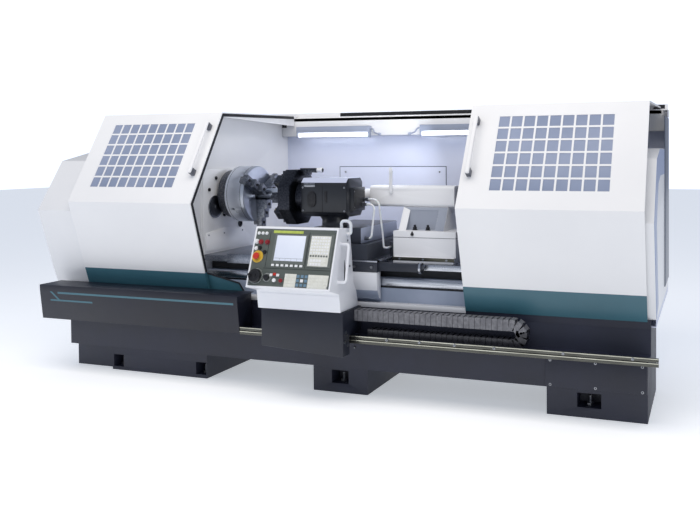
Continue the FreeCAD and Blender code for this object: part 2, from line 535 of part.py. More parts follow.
controls = {"estop_button": (-352, 192), "start_button": (-205, 50), "hold_button": (-160, 50)}
controls.update({"handwheel": (-340, 72), "override_knob": (-262, 66)})
face = slab(P, Q, 14, face_length - 14, -8, -2, STATION[0] + 12, STATION[1] - 12)
face = face.cut([stub(x, u, -20, 5, 8.3) for x, u in controls.values()])
export("panel_face", face)
x, u = controls["estop_button"]
export("estop_button", join([stub(x, u, -30, 10, 8), stub(x, u, 8, 26, 20)]))
for name in ("start_button", "hold_button"):
    x, u = controls[name]
    export(name, join([stub(x, u, -25, 6, 8), stub(x, u, 5, 12, 12)]))
x, u = controls["handwheel"]
wheel = join([stub(x, u, -30, 10, 8), stub(x, u, 4, 26, 42), stub(x - 26, u, 26, 48, 8)])
export("handwheel", wheel)
x, u = controls["override_knob"]
export("override_knob", join([stub(x, u, -25, 4, 8), stub(x, u, 1, 20, 17)]))
skirt = prism_y([(-379, SKIRT_TOP), (185, SKIRT_TOP), (185, RAIL_TOP - 115), (-379, RAIL_TOP - 80)], -660, -400)
skirt = skirt.cut([box(-400, 200, -568, -399, RAIL_TOP - 140, RAIL_TOP + 0.3),
                   box(-367, 173, -648, -412, RAIL_TOP + 23, SKIRT_TOP - 12)])
export("station_apron", skirt)
grip_top = RAIL_TOP + 579
grip_low = RAIL_TOP + 338
grip_x = STATION[1] + 62
grip = [box(STATION[1], grip_x, -655, -637, grip_top - 18, grip_top)]
grip.append(box(STATION[1], grip_x, -700, -682, grip_low, grip_low + 18))
grip.append(prism_x([(-655, grip_top), (-637, grip_top), (-682, grip_low), (-700, grip_low)], grip_x - 18, grip_x))
export("side_handle", join(grip))
conduit = pipe("conduit", [(172, -575, 1062), (204, -575, 1062), (204, -575, 1140), (140, -575, 1140),
                           (140, -575, 1097.4)], 9)
export("conduit", conduit)
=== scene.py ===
import math

import bmesh
import bpy
from mathutils import Matrix, Vector


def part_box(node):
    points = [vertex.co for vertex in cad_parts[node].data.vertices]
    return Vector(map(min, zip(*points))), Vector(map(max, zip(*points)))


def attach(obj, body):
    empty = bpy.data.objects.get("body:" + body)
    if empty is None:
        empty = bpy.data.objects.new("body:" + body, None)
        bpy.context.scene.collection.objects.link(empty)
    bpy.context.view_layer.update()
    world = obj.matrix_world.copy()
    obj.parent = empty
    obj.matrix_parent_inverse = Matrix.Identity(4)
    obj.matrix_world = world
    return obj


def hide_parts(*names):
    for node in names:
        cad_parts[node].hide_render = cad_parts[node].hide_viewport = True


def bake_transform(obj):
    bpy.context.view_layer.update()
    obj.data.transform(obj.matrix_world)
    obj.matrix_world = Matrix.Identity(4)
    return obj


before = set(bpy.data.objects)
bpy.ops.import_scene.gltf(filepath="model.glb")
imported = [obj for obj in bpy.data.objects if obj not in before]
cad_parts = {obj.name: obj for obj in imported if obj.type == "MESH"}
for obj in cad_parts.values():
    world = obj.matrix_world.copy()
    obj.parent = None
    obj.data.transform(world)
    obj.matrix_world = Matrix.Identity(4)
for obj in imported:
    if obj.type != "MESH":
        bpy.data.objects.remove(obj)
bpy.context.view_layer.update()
scene = bpy.context.scene
scene.view_settings.view_transform = "Standard"

# The camera stands in front of the lathe's right half, a little above the spindle, and looks left.
pan, tilt, lean = (math.radians(a) for a in (18.767, 1.251, -0.347))
ahead = Vector((-math.sin(pan) * math.cos(tilt), math.cos(pan) * math.cos(tilt), -math.sin(tilt)))
across = Vector((math.cos(pan), math.sin(pan), 0))
above = across.cross(ahead)
right = across * math.cos(lean) + above * math.sin(lean)
top = above * math.cos(lean) - across * math.sin(lean)
camera = bpy.data.objects.new("camera", bpy.data.cameras.new("camera"))
scene.collection.objects.link(camera)
camera.matrix_world = Matrix.Translation((2.2873, -4.8235, 1.5398)) @ Matrix(
    (right, top, -ahead)).transposed().to_4x4()
camera.data.sensor_fit = "HORIZONTAL"
camera.data.sensor_width = 36
camera.data.lens = 39.684
camera.data.shift_x = -0.1429
camera.data.shift_y = -0.1296
camera.data.clip_end = 100
scene.camera = camera

# Plain studio: a broad warm box over the front, a cool one from the left, a glow inside the machining room.
def soft_light(name, place, aim, size, watts, colour):
    lamp = bpy.data.lights.new(name, "AREA")
    lamp.shape = "RECTANGLE"
    lamp.size, lamp.size_y = size
    lamp.energy = watts
    lamp.color = colour
    holder = bpy.data.objects.new(name, lamp)
    scene.collection.objects.link(holder)
    holder.location = place
    holder.visible_camera = False
    holder.visible_glossy = False
    holder.rotation_euler = (Vector(aim) - Vector(place)).to_track_quat("-Z", "Y").to_euler()


soft_light("overhead_box", (0.2, -2.5, 5.2), (0.0, 0.0, 1.0), (6.5, 2.6), 190, (1.0, 0.945, 0.87))
soft_light("left_box", (-5.2, -4.2, 2.6), (-0.6, 0.0, 1.0), (2.6, 2.6), 16, (0.7, 0.8, 1.0))
soft_light("inner_glow", (0.3, 0.25, 1.66), (-1.1, 0.2, 1.35), (0.7, 0.22), 5, (0.86, 0.9, 1.0))


def new_finish(name, roughness, metallic=0.0):
    finish = bpy.data.materials.new(name)
    finish.use_nodes = True
    shader = finish.node_tree.nodes["Principled BSDF"]
    shader.inputs["Roughness"].default_value = roughness
    shader.inputs["Metallic"].default_value = metallic
    return finish, shader


def put(tree, kind, feeds=(), **settings):
    node = tree.nodes.new(kind)
    for key, value in settings.items():
        setattr(node, key, value)
    for socket, value in feeds:
        if isinstance(value, bpy.types.NodeSocket):
            tree.links.new(value, node.inputs[socket])
        else:
            node.inputs[socket].default_value = value
    return node


def place_of(tree, stretch=(1, 1, 1), centre=(0, 0, 0)):
    spot = put(tree, "ShaderNodeTexCoord").outputs["Object"]
    feeds = [("Vector", spot), ("Scale", stretch), ("Location", centre)]
    return put(tree, "ShaderNodeMapping", feeds).outputs["Vector"]


def tone(tree, shader, spot, size, light, dark, detail=4.0):
    # A slow change between two close colours, size in patches per metre.
    patches = put(tree, "ShaderNodeTexNoise", [("Vector", spot), ("Scale", size), ("Detail", detail)])
    ramp = put(tree, "ShaderNodeValToRGB", [("Fac", patches.outputs["Fac"])])
    ramp.color_ramp.elements[0].position = 0.36
    ramp.color_ramp.elements[1].position = 0.64
    ramp.color_ramp.elements[0].color = (*dark, 1)
    ramp.color_ramp.elements[1].color = (*light, 1)
    tree.links.new(ramp.outputs["Color"], shader.inputs["Base Color"])
    return patches.outputs["Fac"]


def gloss(tree, shader, share, low, high):
    even = put(tree, "ShaderNodeMapRange", [("Value", share), ("To Min", low), ("To Max", high)])
    tree.links.new(even.outputs["Result"], shader.inputs["Roughness"])


def relief(tree, shader, spot, size, depth, detail=2.0, below=None):
    grain = put(tree, "ShaderNodeTexNoise", [("Vector", spot), ("Scale", size), ("Detail", detail)])
    feeds = [("Height", grain.outputs["Fac"]), ("Strength", 0.5), ("Distance", depth)]
    if below is not None:
        feeds.append(("Normal", below))
    bump = put(tree, "ShaderNodeBump", feeds)
    tree.links.new(bump.outputs["Normal"], shader.inputs["Normal"])
    return bump.outputs["Normal"]


# The room round it is white, and lights the lathe less than it shows.
world = bpy.data.worlds.new("studio")
world.use_nodes = True
room = world.node_tree
room.nodes["Background"].inputs["Color"].default_value = (0.74, 0.82, 1.0, 1)
seen = put(room, "ShaderNodeLightPath").outputs["Is Camera Ray"]
level = put(room, "ShaderNodeMapRange", [("Value", seen), ("To Min", 0.43), ("To Max", 1.5)])
room.links.new(level.outputs["Result"], room.nodes["Background"].inputs["Strength"])
scene.world = world


def enamel(name, light, dark, roughness, peel=0.0002, coat=0.25):
    # Sprayed enamel: almost even colour, orange peel and a thin clear gloss.
    finish, shader = new_finish(name, roughness)
    tree = finish.node_tree
    spot = place_of(tree)
    patches = tone(tree, shader, spot, 1.7, light, dark)
    gloss(tree, shader, patches, roughness - 0.06, roughness + 0.08)
    relief(tree, shader, spot, 420, peel)
    shader.inputs["Coat Weight"].default_value = coat
    shader.inputs["Coat Roughness"].default_value = 0.18
    return finish


# Floor: one plain pale sheet, not part of the lathe.
floor_mesh = bpy.data.meshes.new("floor")
floor_mesh.from_pydata([(-30, -30, 0), (30, -30, 0), (30, 30, 0), (-30, 30, 0)], [], [(0, 1, 2, 3)])
floor_paint, shader = new_finish("floor_paint", 0.85)
tone(floor_paint.node_tree, shader, place_of(floor_paint.node_tree), 0.3, (0.96, 0.96, 0.965),
     (0.95, 0.95, 0.955))
shader.inputs["Emission Color"].default_value = (0.92, 0.96, 1.0, 1)
shader.inputs["Emission Strength"].default_value = 0.42
floor = bpy.data.objects.new("floor", floor_mesh)
floor_mesh.materials.append(floor_paint)
scene.collection.objects.link(floor)


# Base casting: three pedestals and a box beam of cast iron, filled, sprayed dark blue, still grainy.
# Its edges are rounded by the mould. A steel plate closes the service opening on the right pedestal.
def own(name, mesh, finish, body, stands_for=()):
    piece = bpy.data.objects.new(name, mesh)
    scene.collection.objects.link(piece)
    if finish is not None:
        mesh.materials.clear()
        mesh.materials.append(finish)
    if isinstance(body, tuple):
        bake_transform(piece)
    else:
        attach(piece, body)
    if stands_for:
        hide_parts(*stands_for)
    return piece


def eased_mesh(bm, name, ease, steps=2, keep_flat=0.6):
    # Rounds the sharp edges of a closed mesh and smooths what is left.
    mesh = bpy.data.meshes.new(name)
    bm.to_mesh(mesh)
    bm.free()
    if ease:
        holder = bpy.data.objects.new(name + "_raw", mesh)
        scene.collection.objects.link(holder)
        rounder = holder.modifiers.new("edges", "BEVEL")
        rounder.width = ease
        rounder.segments = steps
        rounder.limit_method = "ANGLE"
        rounder.angle_limit = math.radians(28)
        rounder.miter_outer = "MITER_ARC"
        bpy.context.view_layer.update()
        rounded = bpy.data.meshes.new_from_object(holder.evaluated_get(bpy.context.evaluated_depsgraph_get()))
        bpy.data.objects.remove(holder)
        mesh = rounded
    mesh.name = name
    mesh.shade_smooth()
    mesh.set_sharp_from_angle(angle=keep_flat)
    return mesh


def from_frame(node, whole_faces=True):
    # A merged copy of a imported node, its flat faces whole again.
    bm = bmesh.new()
    bm.from_mesh(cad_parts[node].data)
    bmesh.ops.remove_doubles(bm, verts=bm.verts, dist=0.00002)
    if whole_faces:
        bmesh.ops.dissolve_limit(bm, angle_limit=0.004, verts=bm.verts, edges=bm.edges)
    return bm


def refinished(node, body, finish, ease):
    mesh = eased_mesh(from_frame(node, ease > 0), node + "_finished", ease)
    return own(node + "_finished", mesh, finish, body, [node])


def add_box(bm, low, high, turn=None):
    corners = [Vector((x, y, z)) for x in (low[0], high[0]) for y in (low[1], high[1]) for z in (low[2], high[2])]
    if turn is not None:
        corners = [turn @ c for c in corners]
    v = [bm.verts.new(c) for c in corners]
    for ring in ((0, 1, 3, 2), (4, 6, 7, 5), (0, 4, 5, 1), (2, 3, 7, 6), (0, 2, 6, 4), (1, 5, 7, 3)):
        bm.faces.new([v[i] for i in ring])
    return v


def add_prism(bm, outline, along, start, end):
    # outline is a list of pairs in the plane across the axis along (0 X, 1 Y, 2 Z).
    rings = []
    for level in (start, end):
        ring = []
        for a, b in outline:
            spot = [a, b]
            spot.insert(along, level)
            ring.append(bm.verts.new(spot))
        rings.append(ring)
    faces = [bm.faces.new(rings[0]), bm.faces.new(rings[1][::-1])]
    for i in range(len(outline)):
        j = (i + 1) % len(outline)
        faces.append(bm.faces.new((rings[0][i], rings[1][i], rings[1][j], rings[0][j])))
    bmesh.ops.recalc_face_normals(bm, faces=faces)


def add_turned(bm, centre, axis, profile, sides=40):
    # profile is a list of (distance along the axis, radius) from one end to the other; both ends are closed.
    axis = Vector(axis).normalized()
    a = axis.orthogonal().normalized()
    b = axis.cross(a)
    rings = []
    for along, radius in profile:
        middle = Vector(centre) + axis * along
        ring = []
        for i in range(sides):
            angle = 2 * math.pi * i / sides
            ring.append(bm.verts.new(middle + (a * math.cos(angle) + b * math.sin(angle)) * radius))
        rings.append(ring)
    faces = [bm.faces.new(rings[0][::-1]), bm.faces.new(rings[-1])]
    for low_ring, high_ring in zip(rings, rings[1:]):
        for i in range(sides):
            j = (i + 1) % sides
            faces.append(bm.faces.new((low_ring[i], low_ring[j], high_ring[j], high_ring[i])))
    bmesh.ops.recalc_face_normals(bm, faces=faces)


def cast_paint(name, light, dark, roughness):
    # Filled and sprayed castings: broad waves of the filler under a fine sandy grain.
    finish, shader = new_finish(name, roughness)
    tree = finish.node_tree
    spot = place_of(tree)
    patches = tone(tree, shader, spot, 3.0, light, dark, 6.0)
    gloss(tree, shader, patches, roughness - 0.1, roughness + 0.12)
    waves = relief(tree, shader, spot, 14, 0.002)
    relief(tree, shader, spot, 260, 0.0006, 3.0, waves)
    return finish


casting_paint = cast_paint("casting_paint", (0.023, 0.026, 0.046), (0.015, 0.017, 0.03), 0.5)
refinished("base_casting", "frame", casting_paint, 0.006)
base_low, base_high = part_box("base_casting")
bm = bmesh.new()
add_box(bm, (1.355, base_low.y - 0.0055, 0.172), (base_high.x - 0.004, base_low.y + 0.001, 0.358))
cover = eased_mesh(bm, "pedestal_cover_plate", 0.002)
own("pedestal_cover_plate", cover, casting_paint, "frame")


# Levelling screws: turned steel studs with a hexagon collar, each standing in its pocket of a pedestal.
def steel(name, light, dark, low, high, streak=(1, 1, 1), grain=90, depth=0.00008):
    # Machined steel: fine streaks along one direction, patchy gloss from oil.
    finish, shader = new_finish(name, low, 1.0)
    tree = finish.node_tree
    spot = place_of(tree, streak)
    tone(tree, shader, spot, grain, light, dark, 5.0)
    oil = put(tree, "ShaderNodeTexNoise", [("Vector", place_of(tree)), ("Scale", 9.0), ("Detail", 3.0)])
    gloss(tree, shader, oil.outputs["Fac"], low, high)
    relief(tree, shader, spot, grain * 2, depth)
    return finish


screw_steel = steel("screw_steel", (0.42, 0.43, 0.45), (0.24, 0.25, 0.27), 0.22, 0.42)
bm = bmesh.new()
STUD, COLLAR, THREAD = 0.0118, 0.0215, 0.003
pocket_levels = {-1.7785: 0.025, -1.0725: 0.025, 0.0: 0.06, 1.61: 0.06}
for x, level in pocket_levels.items():
    profile = [(0.0, 0.0105), (0.002, STUD)]
    steps = int((level + 0.056) / THREAD)
    for i in range(1, steps):
        profile += [(i * THREAD, STUD), (i * THREAD + THREAD / 2, STUD - 0.0012)]
    profile += [(level + 0.058, STUD), (level + 0.06, 0.009)]
    add_turned(bm, (x, -0.276, 0), (0, 0, 1), profile, 24)
    add_turned(bm, (x, -0.276, level), (0, 0, 1), [(0, COLLAR - 0.001), (0.001, COLLAR), (0.015, COLLAR),
                                                 (0.016, COLLAR - 0.001)], 6)
own("levelling_screws_threaded", eased_mesh(bm, "levelling_screws", 0.0), screw_steel, "frame",
    ["levelling_screws"])


# Bed: a flat-bed casting with a ledge and a recess along each side, painted blue-grey below its ways.
bed_paint = cast_paint("bed_paint", (0.34, 0.39, 0.5), (0.27, 0.32, 0.42), 0.38)
bed = refinished("bed_casting", "frame", bed_paint, 0.004)
ground_steel = steel("ground_steel", (0.62, 0.64, 0.68), (0.4, 0.42, 0.46), 0.16, 0.34, (0.03, 1, 1), 260)
refinished("bed_ways", "frame", ground_steel, 0.0015)
# The recess under each way and the groove below the ledge are coloured near black: painted shade.
recess_painted_shade = cast_paint("recess_painted_shade", (0.018, 0.02, 0.022), (0.01, 0.011, 0.013), 0.5)
bed.data.materials.append(ground_steel)
bed.data.materials.append(recess_painted_shade)
for face in bed.data.polygons:
    if abs(face.center.y) > 0.2 and 0.7045 < face.center.z < 0.7515 and abs(face.normal.y) > 0.7:
        face.material_index = 1
    elif abs(face.center.y) > 0.2 and (0.7525 < face.center.z < 0.812 or 0.6895 < face.center.z < 0.7035):
        face.material_index = 2


# Headstock: a cast housing behind a white face plate that carries a round inspection cap.
white_paint = enamel("white_paint", (0.885, 0.882, 0.88), (0.85, 0.848, 0.85), 0.34)
refinished("headstock_housing", "frame", white_paint, 0.008)
refinished("headstock_face_plate", "frame", white_paint, 0.003)
dark_steel = steel("dark_steel", (0.16, 0.165, 0.18), (0.08, 0.085, 0.1), 0.3, 0.5)
refinished("spindle_bearings", "frame", dark_steel, 0.002)
plate_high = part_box("headstock_face_plate")[1]
AXIS_Z = 1.268
cap_face = plate_high.x
bm = bmesh.new()
add_turned(bm, (cap_face, -0.159, AXIS_Z - 0.086), (1, 0, 0),
           [(-0.006, 0.08), (0.001, 0.08), (0.003, 0.077),
           (0.003, 0.064), (0.0015, 0.062), (0.0015, 0.012), (0.004, 0.01), (0.004, 0.0005)], 56)
cap_steel = steel("cap_steel", (0.34, 0.35, 0.38), (0.26, 0.27, 0.3), 0.3, 0.42)
own("inspection_cap", eased_mesh(bm, "inspection_cap", 0.0), cap_steel, "frame")
bm = bmesh.new()
PLATE_FRONT = -1.07
add_prism(bm, [(-0.27, 0.87), (-0.27, 1.0), (-0.06, 1.025), (0.2, 1.0), (0.2, 0.87)], 0,
          PLATE_FRONT - 0.001,
          PLATE_FRONT + 0.005)
own("splash_plate", eased_mesh(bm, "splash_plate", 0.0012), white_paint, "frame")
black_plastic, shader = new_finish("black_plastic", 0.42)
tone(black_plastic.node_tree, shader, place_of(black_plastic.node_tree), 60, (0.018, 0.018, 0.02),
     (0.01, 0.01, 0.012))
relief(black_plastic.node_tree, shader, place_of(black_plastic.node_tree), 1500, 0.0002)
bm = bmesh.new()
add_turned(bm, (PLATE_FRONT - 0.004, 0.148, AXIS_Z - 0.232), (1, 0, 0), [(-0.02, 0.0235), (0.004, 0.0235),
           (0.007, 0.027), (0.009, 0.024), (0.009, 0.016), (0.0, 0.014)], 32)
own("coolant_port", eased_mesh(bm, "coolant_port", 0.0), black_plastic, "frame")


# Repeats grow from Geometry Nodes: a tree with named sizes, made real as one plain mesh for its body.
def start_tree(name, sizes):
    tree = bpy.data.node_groups.new(name, "GeometryNodeTree")
    tree.interface.new_socket("Geometry", in_out="INPUT", socket_type="NodeSocketGeometry")
    for label, value in sizes.items():
        kind = "NodeSocketVector" if isinstance(value, tuple) else "NodeSocketFloat"
        tree.interface.new_socket(label, in_out="INPUT", socket_type=kind).default_value = value
    tree.interface.new_socket("Finish", in_out="INPUT", socket_type="NodeSocketMaterial")
    tree.interface.new_socket("Geometry", in_out="OUTPUT", socket_type="NodeSocketGeometry")
    return tree, put(tree, "NodeGroupInput").outputs


def end_tree(tree, ask, instances):
    real = put(tree, "GeometryNodeRealizeInstances", [("Geometry", instances)])
    dressed = put(tree, "GeometryNodeSetMaterial", [("Geometry", real.outputs[0]),
                                                    ("Material", ask["Finish"])])
    tree.links.new(dressed.outputs[0], put(tree, "NodeGroupOutput").inputs["Geometry"])


def grow(name, tree, start, values, finish, body, stands_for=()):
    seed = bpy.data.objects.new(name + "_start", start)
    scene.collection.objects.link(seed)
    growth = seed.modifiers.new("growth", "NODES")
    growth.node_group = tree
    for item in tree.interface.items_tree:
        if item.in_out == "INPUT" and item.name in values:
            growth[item.identifier] = values[item.name]
        if item.in_out == "INPUT" and item.name == "Finish":
            growth[item.identifier] = finish
    bpy.context.view_layer.update()
    mesh = bpy.data.meshes.new_from_object(seed.evaluated_get(bpy.context.evaluated_depsgraph_get()))
    seed.modifiers.clear()
    bpy.data.objects.remove(seed)
    mesh.name = name
    mesh.shade_smooth()
    mesh.set_sharp_from_angle(angle=0.6)
    return own(name, mesh, None, body, stands_for)


def points_only(name, places):
    mesh = bpy.data.meshes.new(name)
    mesh.from_pydata(places, [], [])
    return mesh


# Screws: socket heads turned from steel, their hexagon sockets sunk; every group shares one tree.
screw_tree, ask = start_tree("socket_head_screws", {"Direction": (0.0, 0.0, 1.0), "Head radius": 0.008,
                                                    "Head height": 0.006, "Socket share": 0.55})
head = put(screw_tree, "GeometryNodeMeshCylinder", [("Vertices", 18), ("Radius", ask["Head radius"]),
                                                    ("Depth", ask["Head height"])])
facing = put(screw_tree, "ShaderNodeSeparateXYZ", [(0, put(screw_tree,
                                                           "GeometryNodeInputNormal").outputs[0])])
upper = put(screw_tree, "FunctionNodeCompare", [(0, facing.outputs["Z"]), (1, 0.9)],
            operation="GREATER_THAN")
rim = put(screw_tree, "GeometryNodeExtrudeMesh", [("Mesh", head.outputs["Mesh"]),
                                                  ("Selection", upper.outputs[0]),
                                                  ("Offset Scale", 0.0005)])
drawn = put(screw_tree, "GeometryNodeScaleElements", [("Geometry", rim.outputs["Mesh"]),
            ("Selection", rim.outputs["Top"]), ("Scale", ask["Socket share"])])
depth = put(screw_tree, "ShaderNodeMath", [(0, ask["Head height"]), (1, -0.7)], operation="MULTIPLY")
sunk = put(screw_tree, "GeometryNodeExtrudeMesh", [("Mesh", drawn.outputs[0]),
                                                   ("Selection", rim.outputs["Top"]),
                                                   ("Offset Scale", depth.outputs[0])])
half = put(screw_tree, "ShaderNodeMath", [(0, ask["Head height"]), (1, 0.5)], operation="MULTIPLY")
lift = put(screw_tree, "ShaderNodeCombineXYZ", [("Z", half.outputs[0])])
raised = put(screw_tree, "GeometryNodeTransform", [("Geometry", sunk.outputs["Mesh"]),
                                                   ("Translation", lift.outputs[0])])
aimed = put(screw_tree, "FunctionNodeAlignRotationToVector", [("Vector", ask["Direction"])], axis="Z")
placed = put(screw_tree, "GeometryNodeInstanceOnPoints", [("Points", ask["Geometry"]),
             ("Instance", raised.outputs[0]), ("Rotation", aimed.outputs[0])])
end_tree(screw_tree, ask, placed.outputs[0])


def screws(name, places, direction, radius, height, finish, body="frame",
           stands_for=()):
    values = {"Direction": direction, "Head radius": radius, "Head height": height}
    return grow(name, screw_tree, points_only(name, places), values, finish, body, stands_for)


cover_screws = [(x, -0.355, z) for x in (1.385, 1.65, 1.915) for z in (0.185, 0.33)]
screws("cover_plate_screws", cover_screws, (0, -1, 0), 0.008, 0.006, screw_steel,
       stands_for=["machine_screws"])
rail_screws = [(x, -0.5597, 0.425) for x in (0.43, 0.64, 0.86, 1.1, 1.5, 1.88)]
screws("rail_screws", rail_screws, (0, -1, 0), 0.008, 0.006, screw_steel)
face_screws = [(PLATE_FRONT, y, AXIS_Z + z) for y, z in ((-0.226, 0.037), (-0.146, 0.117), (-0.051, -0.152),
                                                        (0.23, 0.12))]
screws("face_plate_screws", face_screws, (1, 0, 0), 0.012, 0.008, black_plastic)
splash_screws = [(PLATE_FRONT + 0.005, y, 0.985) for y in (-0.24, -0.06, 0.17)]
screws("splash_plate_screws", splash_screws, (1, 0, 0), 0.006, 0.003, screw_steel)
screws("cap_screws", [(cap_face + 0.002, -0.159 + 0.07 * math.cos(a), AXIS_Z - 0.086 + 0.07 * math.sin(a))
                      for a in (0.5, 2.6, 4.7)], (1, 0, 0), 0.005, 0.003, screw_steel)


# Spindle, chuck and jaws: turned and ground steel with fine turning rings, held by cap screws.
def turned_steel(name, light, dark, low, high, rings=900):
    # Turning marks are rings about the spindle's own axis.
    finish, shader = new_finish(name, low, 1.0)
    tree = finish.node_tree
    spot = place_of(tree, (1, 1, 1), (0, 0, -AXIS_Z))
    tone(tree, shader, spot, 7, light, dark, 3.0)
    gloss(tree, shader, put(tree, "ShaderNodeTexNoise", [("Vector", spot),
                                                         ("Scale", 11.0)]).outputs["Fac"], low, high)
    marks = put(tree, "ShaderNodeTexWave", [("Vector", spot), ("Scale", rings / 20), ("Distortion", 0.4)],
                wave_type="RINGS", rings_direction="X")
    bump = put(tree, "ShaderNodeBump", [("Height", marks.outputs["Fac"]), ("Strength", 0.25),
                                        ("Distance", 0.0002)])
    tree.links.new(bump.outputs["Normal"], shader.inputs["Normal"])
    return finish


chuck_steel = turned_steel("chuck_steel", (0.72, 0.75, 0.8), (0.62, 0.65, 0.71), 0.24, 0.34)
chuck_low, chuck_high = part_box("chuck_body")
refinished("spindle_shaft", "spindle", dark_steel, 0.002)
refinished("chuck_body", "spindle", chuck_steel, 0.003)
refinished("test_bar", "spindle", chuck_steel, 0.002)
BOLT_CIRCLE = 0.15
flange_bolts = []
for i in range(12):
    angle = math.pi / 6 * i
    flange_bolts.append((chuck_low.x - 0.0745, BOLT_CIRCLE * math.cos(angle),
                         AXIS_Z + BOLT_CIRCLE * math.sin(angle)))
screws("flange_bolts", flange_bolts, (-1, 0, 0), 0.011, 0.009, dark_steel, "spindle")
bm = bmesh.new()
for start, radius in ((chuck_low.x + 0.02, 0.2004), (chuck_low.x + 0.125, 0.2004)):
    add_turned(bm, (start, 0, AXIS_Z), (1, 0, 0), [(0, radius - 0.003), (0.0008, radius), (0.0035, radius),
                                                  (0.0043, radius - 0.003)], 96)
own("chuck_bands", eased_mesh(bm, "chuck_bands", 0.0), dark_steel, "spindle")
jaw_steel = steel("jaw_steel", (0.3, 0.31, 0.34), (0.16, 0.17, 0.19), 0.25, 0.42)
for body, node, angle in (("jaw_a", "jaw_1", 150), ("jaw_b", "jaw_2", 30), ("jaw_c", "jaw_3", 270)):
    refinished(node, body, jaw_steel, 0.002)
    away = Vector((0, math.cos(math.radians(angle)), math.sin(math.radians(angle))))
    spots = [Vector((chuck_high.x + 0.0400, 0, AXIS_Z)) + away * 0.205]
    spots.append(Vector((chuck_high.x + 0.0640, 0, AXIS_Z)) + away * 0.137)
    spots.append(Vector((chuck_high.x + 0.0850, 0, AXIS_Z)) + away * 0.073)
    screws(node + "_screws", spots, (1, 0, 0), 0.011, 0.005, black_plastic, body)


# Main motor, its pulley and the toothed belt behind the headstock; cooling ribs run round the barrel.
motor_paint = cast_paint("motor_paint", (0.05, 0.055, 0.065), (0.03, 0.034, 0.04), 0.45)
refinished("main_motor", "frame", motor_paint, 0.003)
refinished("motor_pulley", "motor_rotor", dark_steel, 0.002)
belt_rubber, shader = new_finish("belt_rubber", 0.7)
tree = belt_rubber.node_tree
tone(tree, shader, place_of(tree), 45, (0.02, 0.02, 0.021), (0.012, 0.012, 0.013))
relief(tree, shader, place_of(tree), 900, 0.0004)
refinished("drive_belt", "frame", belt_rubber, 0.001)
rib_tree, ask = start_tree("motor_ribs", {"Length": 0.3, "Pitch": 0.018, "Rib radius": 0.128,
                                          "Rib width": 0.006})
count = put(rib_tree, "ShaderNodeMath", [(0, ask["Length"]), (1, ask["Pitch"])], operation="DIVIDE")
step = put(rib_tree, "ShaderNodeCombineXYZ", [("X", ask["Pitch"])])
line = put(rib_tree, "GeometryNodeMeshLine", [("Count", count.outputs[0]), ("Offset", step.outputs[0])])
moved = put(rib_tree, "GeometryNodeInstanceOnPoints", [("Points", ask["Geometry"]),
                                                      ("Instance", line.outputs[0])])
spread = put(rib_tree, "GeometryNodeRealizeInstances", [("Geometry", moved.outputs[0])])
ring = put(rib_tree, "GeometryNodeMeshCylinder", [("Vertices", 40), ("Radius", ask["Rib radius"]),
                                                  ("Depth", ask["Rib width"])])
placed = put(rib_tree, "GeometryNodeInstanceOnPoints", [("Points", spread.outputs[0]),
             ("Instance", ring.outputs["Mesh"]), ("Rotation", (0, math.pi / 2, 0))])
end_tree(rib_tree, ask, placed.outputs[0])
grow("motor_ribs", rib_tree, points_only("motor_ribs", [(-1.86, 0.52, 0.79)]), {"Length": 0.36},
     motor_paint,
     "frame")


# End covers: bent and spot-welded sheet over headstock and tailstock end, sprayed white, with folded lips.
refinished("headstock_end_cover", "frame", white_paint, 0.0012)
refinished("right_end_cover", "frame", white_paint, 0.0012)


# Sliding doors: one bent sheet each, white above the lip bend and teal below it, windows punched as squares,
# a sheet of smoked polycarbonate behind them, a rubber seal round the open end and a tubular handle.
teal = enamel("teal_paint", (0.05, 0.155, 0.2), (0.042, 0.135, 0.175), 0.36)
DOOR_LINE = ((-0.362, 0.589), (-0.413, 0.746), (-0.560, 1.228), (-0.192, 1.850), (0.840, 1.872))
BAND_TOP = DOOR_LINE[1][1]
window_glass, shader = new_finish("window_glass", 0.12)
tree = window_glass.node_tree
haze = tone(tree, shader, place_of(tree), 2.2, (0.4, 0.46, 0.62), (0.32, 0.38, 0.53))
gloss(tree, shader, haze, 0.08, 0.2)
shader.inputs["Transmission Weight"].default_value = 0.3
shader.inputs["IOR"].default_value = 1.5
gasket_rubber, shader = new_finish("gasket_rubber", 0.5)
tree = gasket_rubber.node_tree
tone(tree, shader, place_of(tree), 30, (0.016, 0.016, 0.019), (0.009, 0.009, 0.011))
relief(tree, shader, place_of(tree), 700, 0.0003)
cast_aluminium = steel("handle_blocks", (0.2, 0.21, 0.24), (0.13, 0.14, 0.17), 0.35, 0.5)


def moved_in(line, depth):
    # The line shifted inward by depth, its corners mitred.
    sides = []
    for (y0, z0), (y1, z1) in zip(line, line[1:]):
        length = math.hypot(y1 - y0, z1 - z0)
        sides.append(((z1 - z0) / length, (y0 - y1) / length))
    moved = []
    for i, (y, z) in enumerate(line):
        a = sides[max(i - 1, 0)]
        b = sides[min(i, len(sides) - 1)]
        share = depth / (1 + a[0] * b[0] + a[1] * b[1])
        moved.append((y + share * (a[0] + b[0]), z + share * (a[1] + b[1])))
    return moved


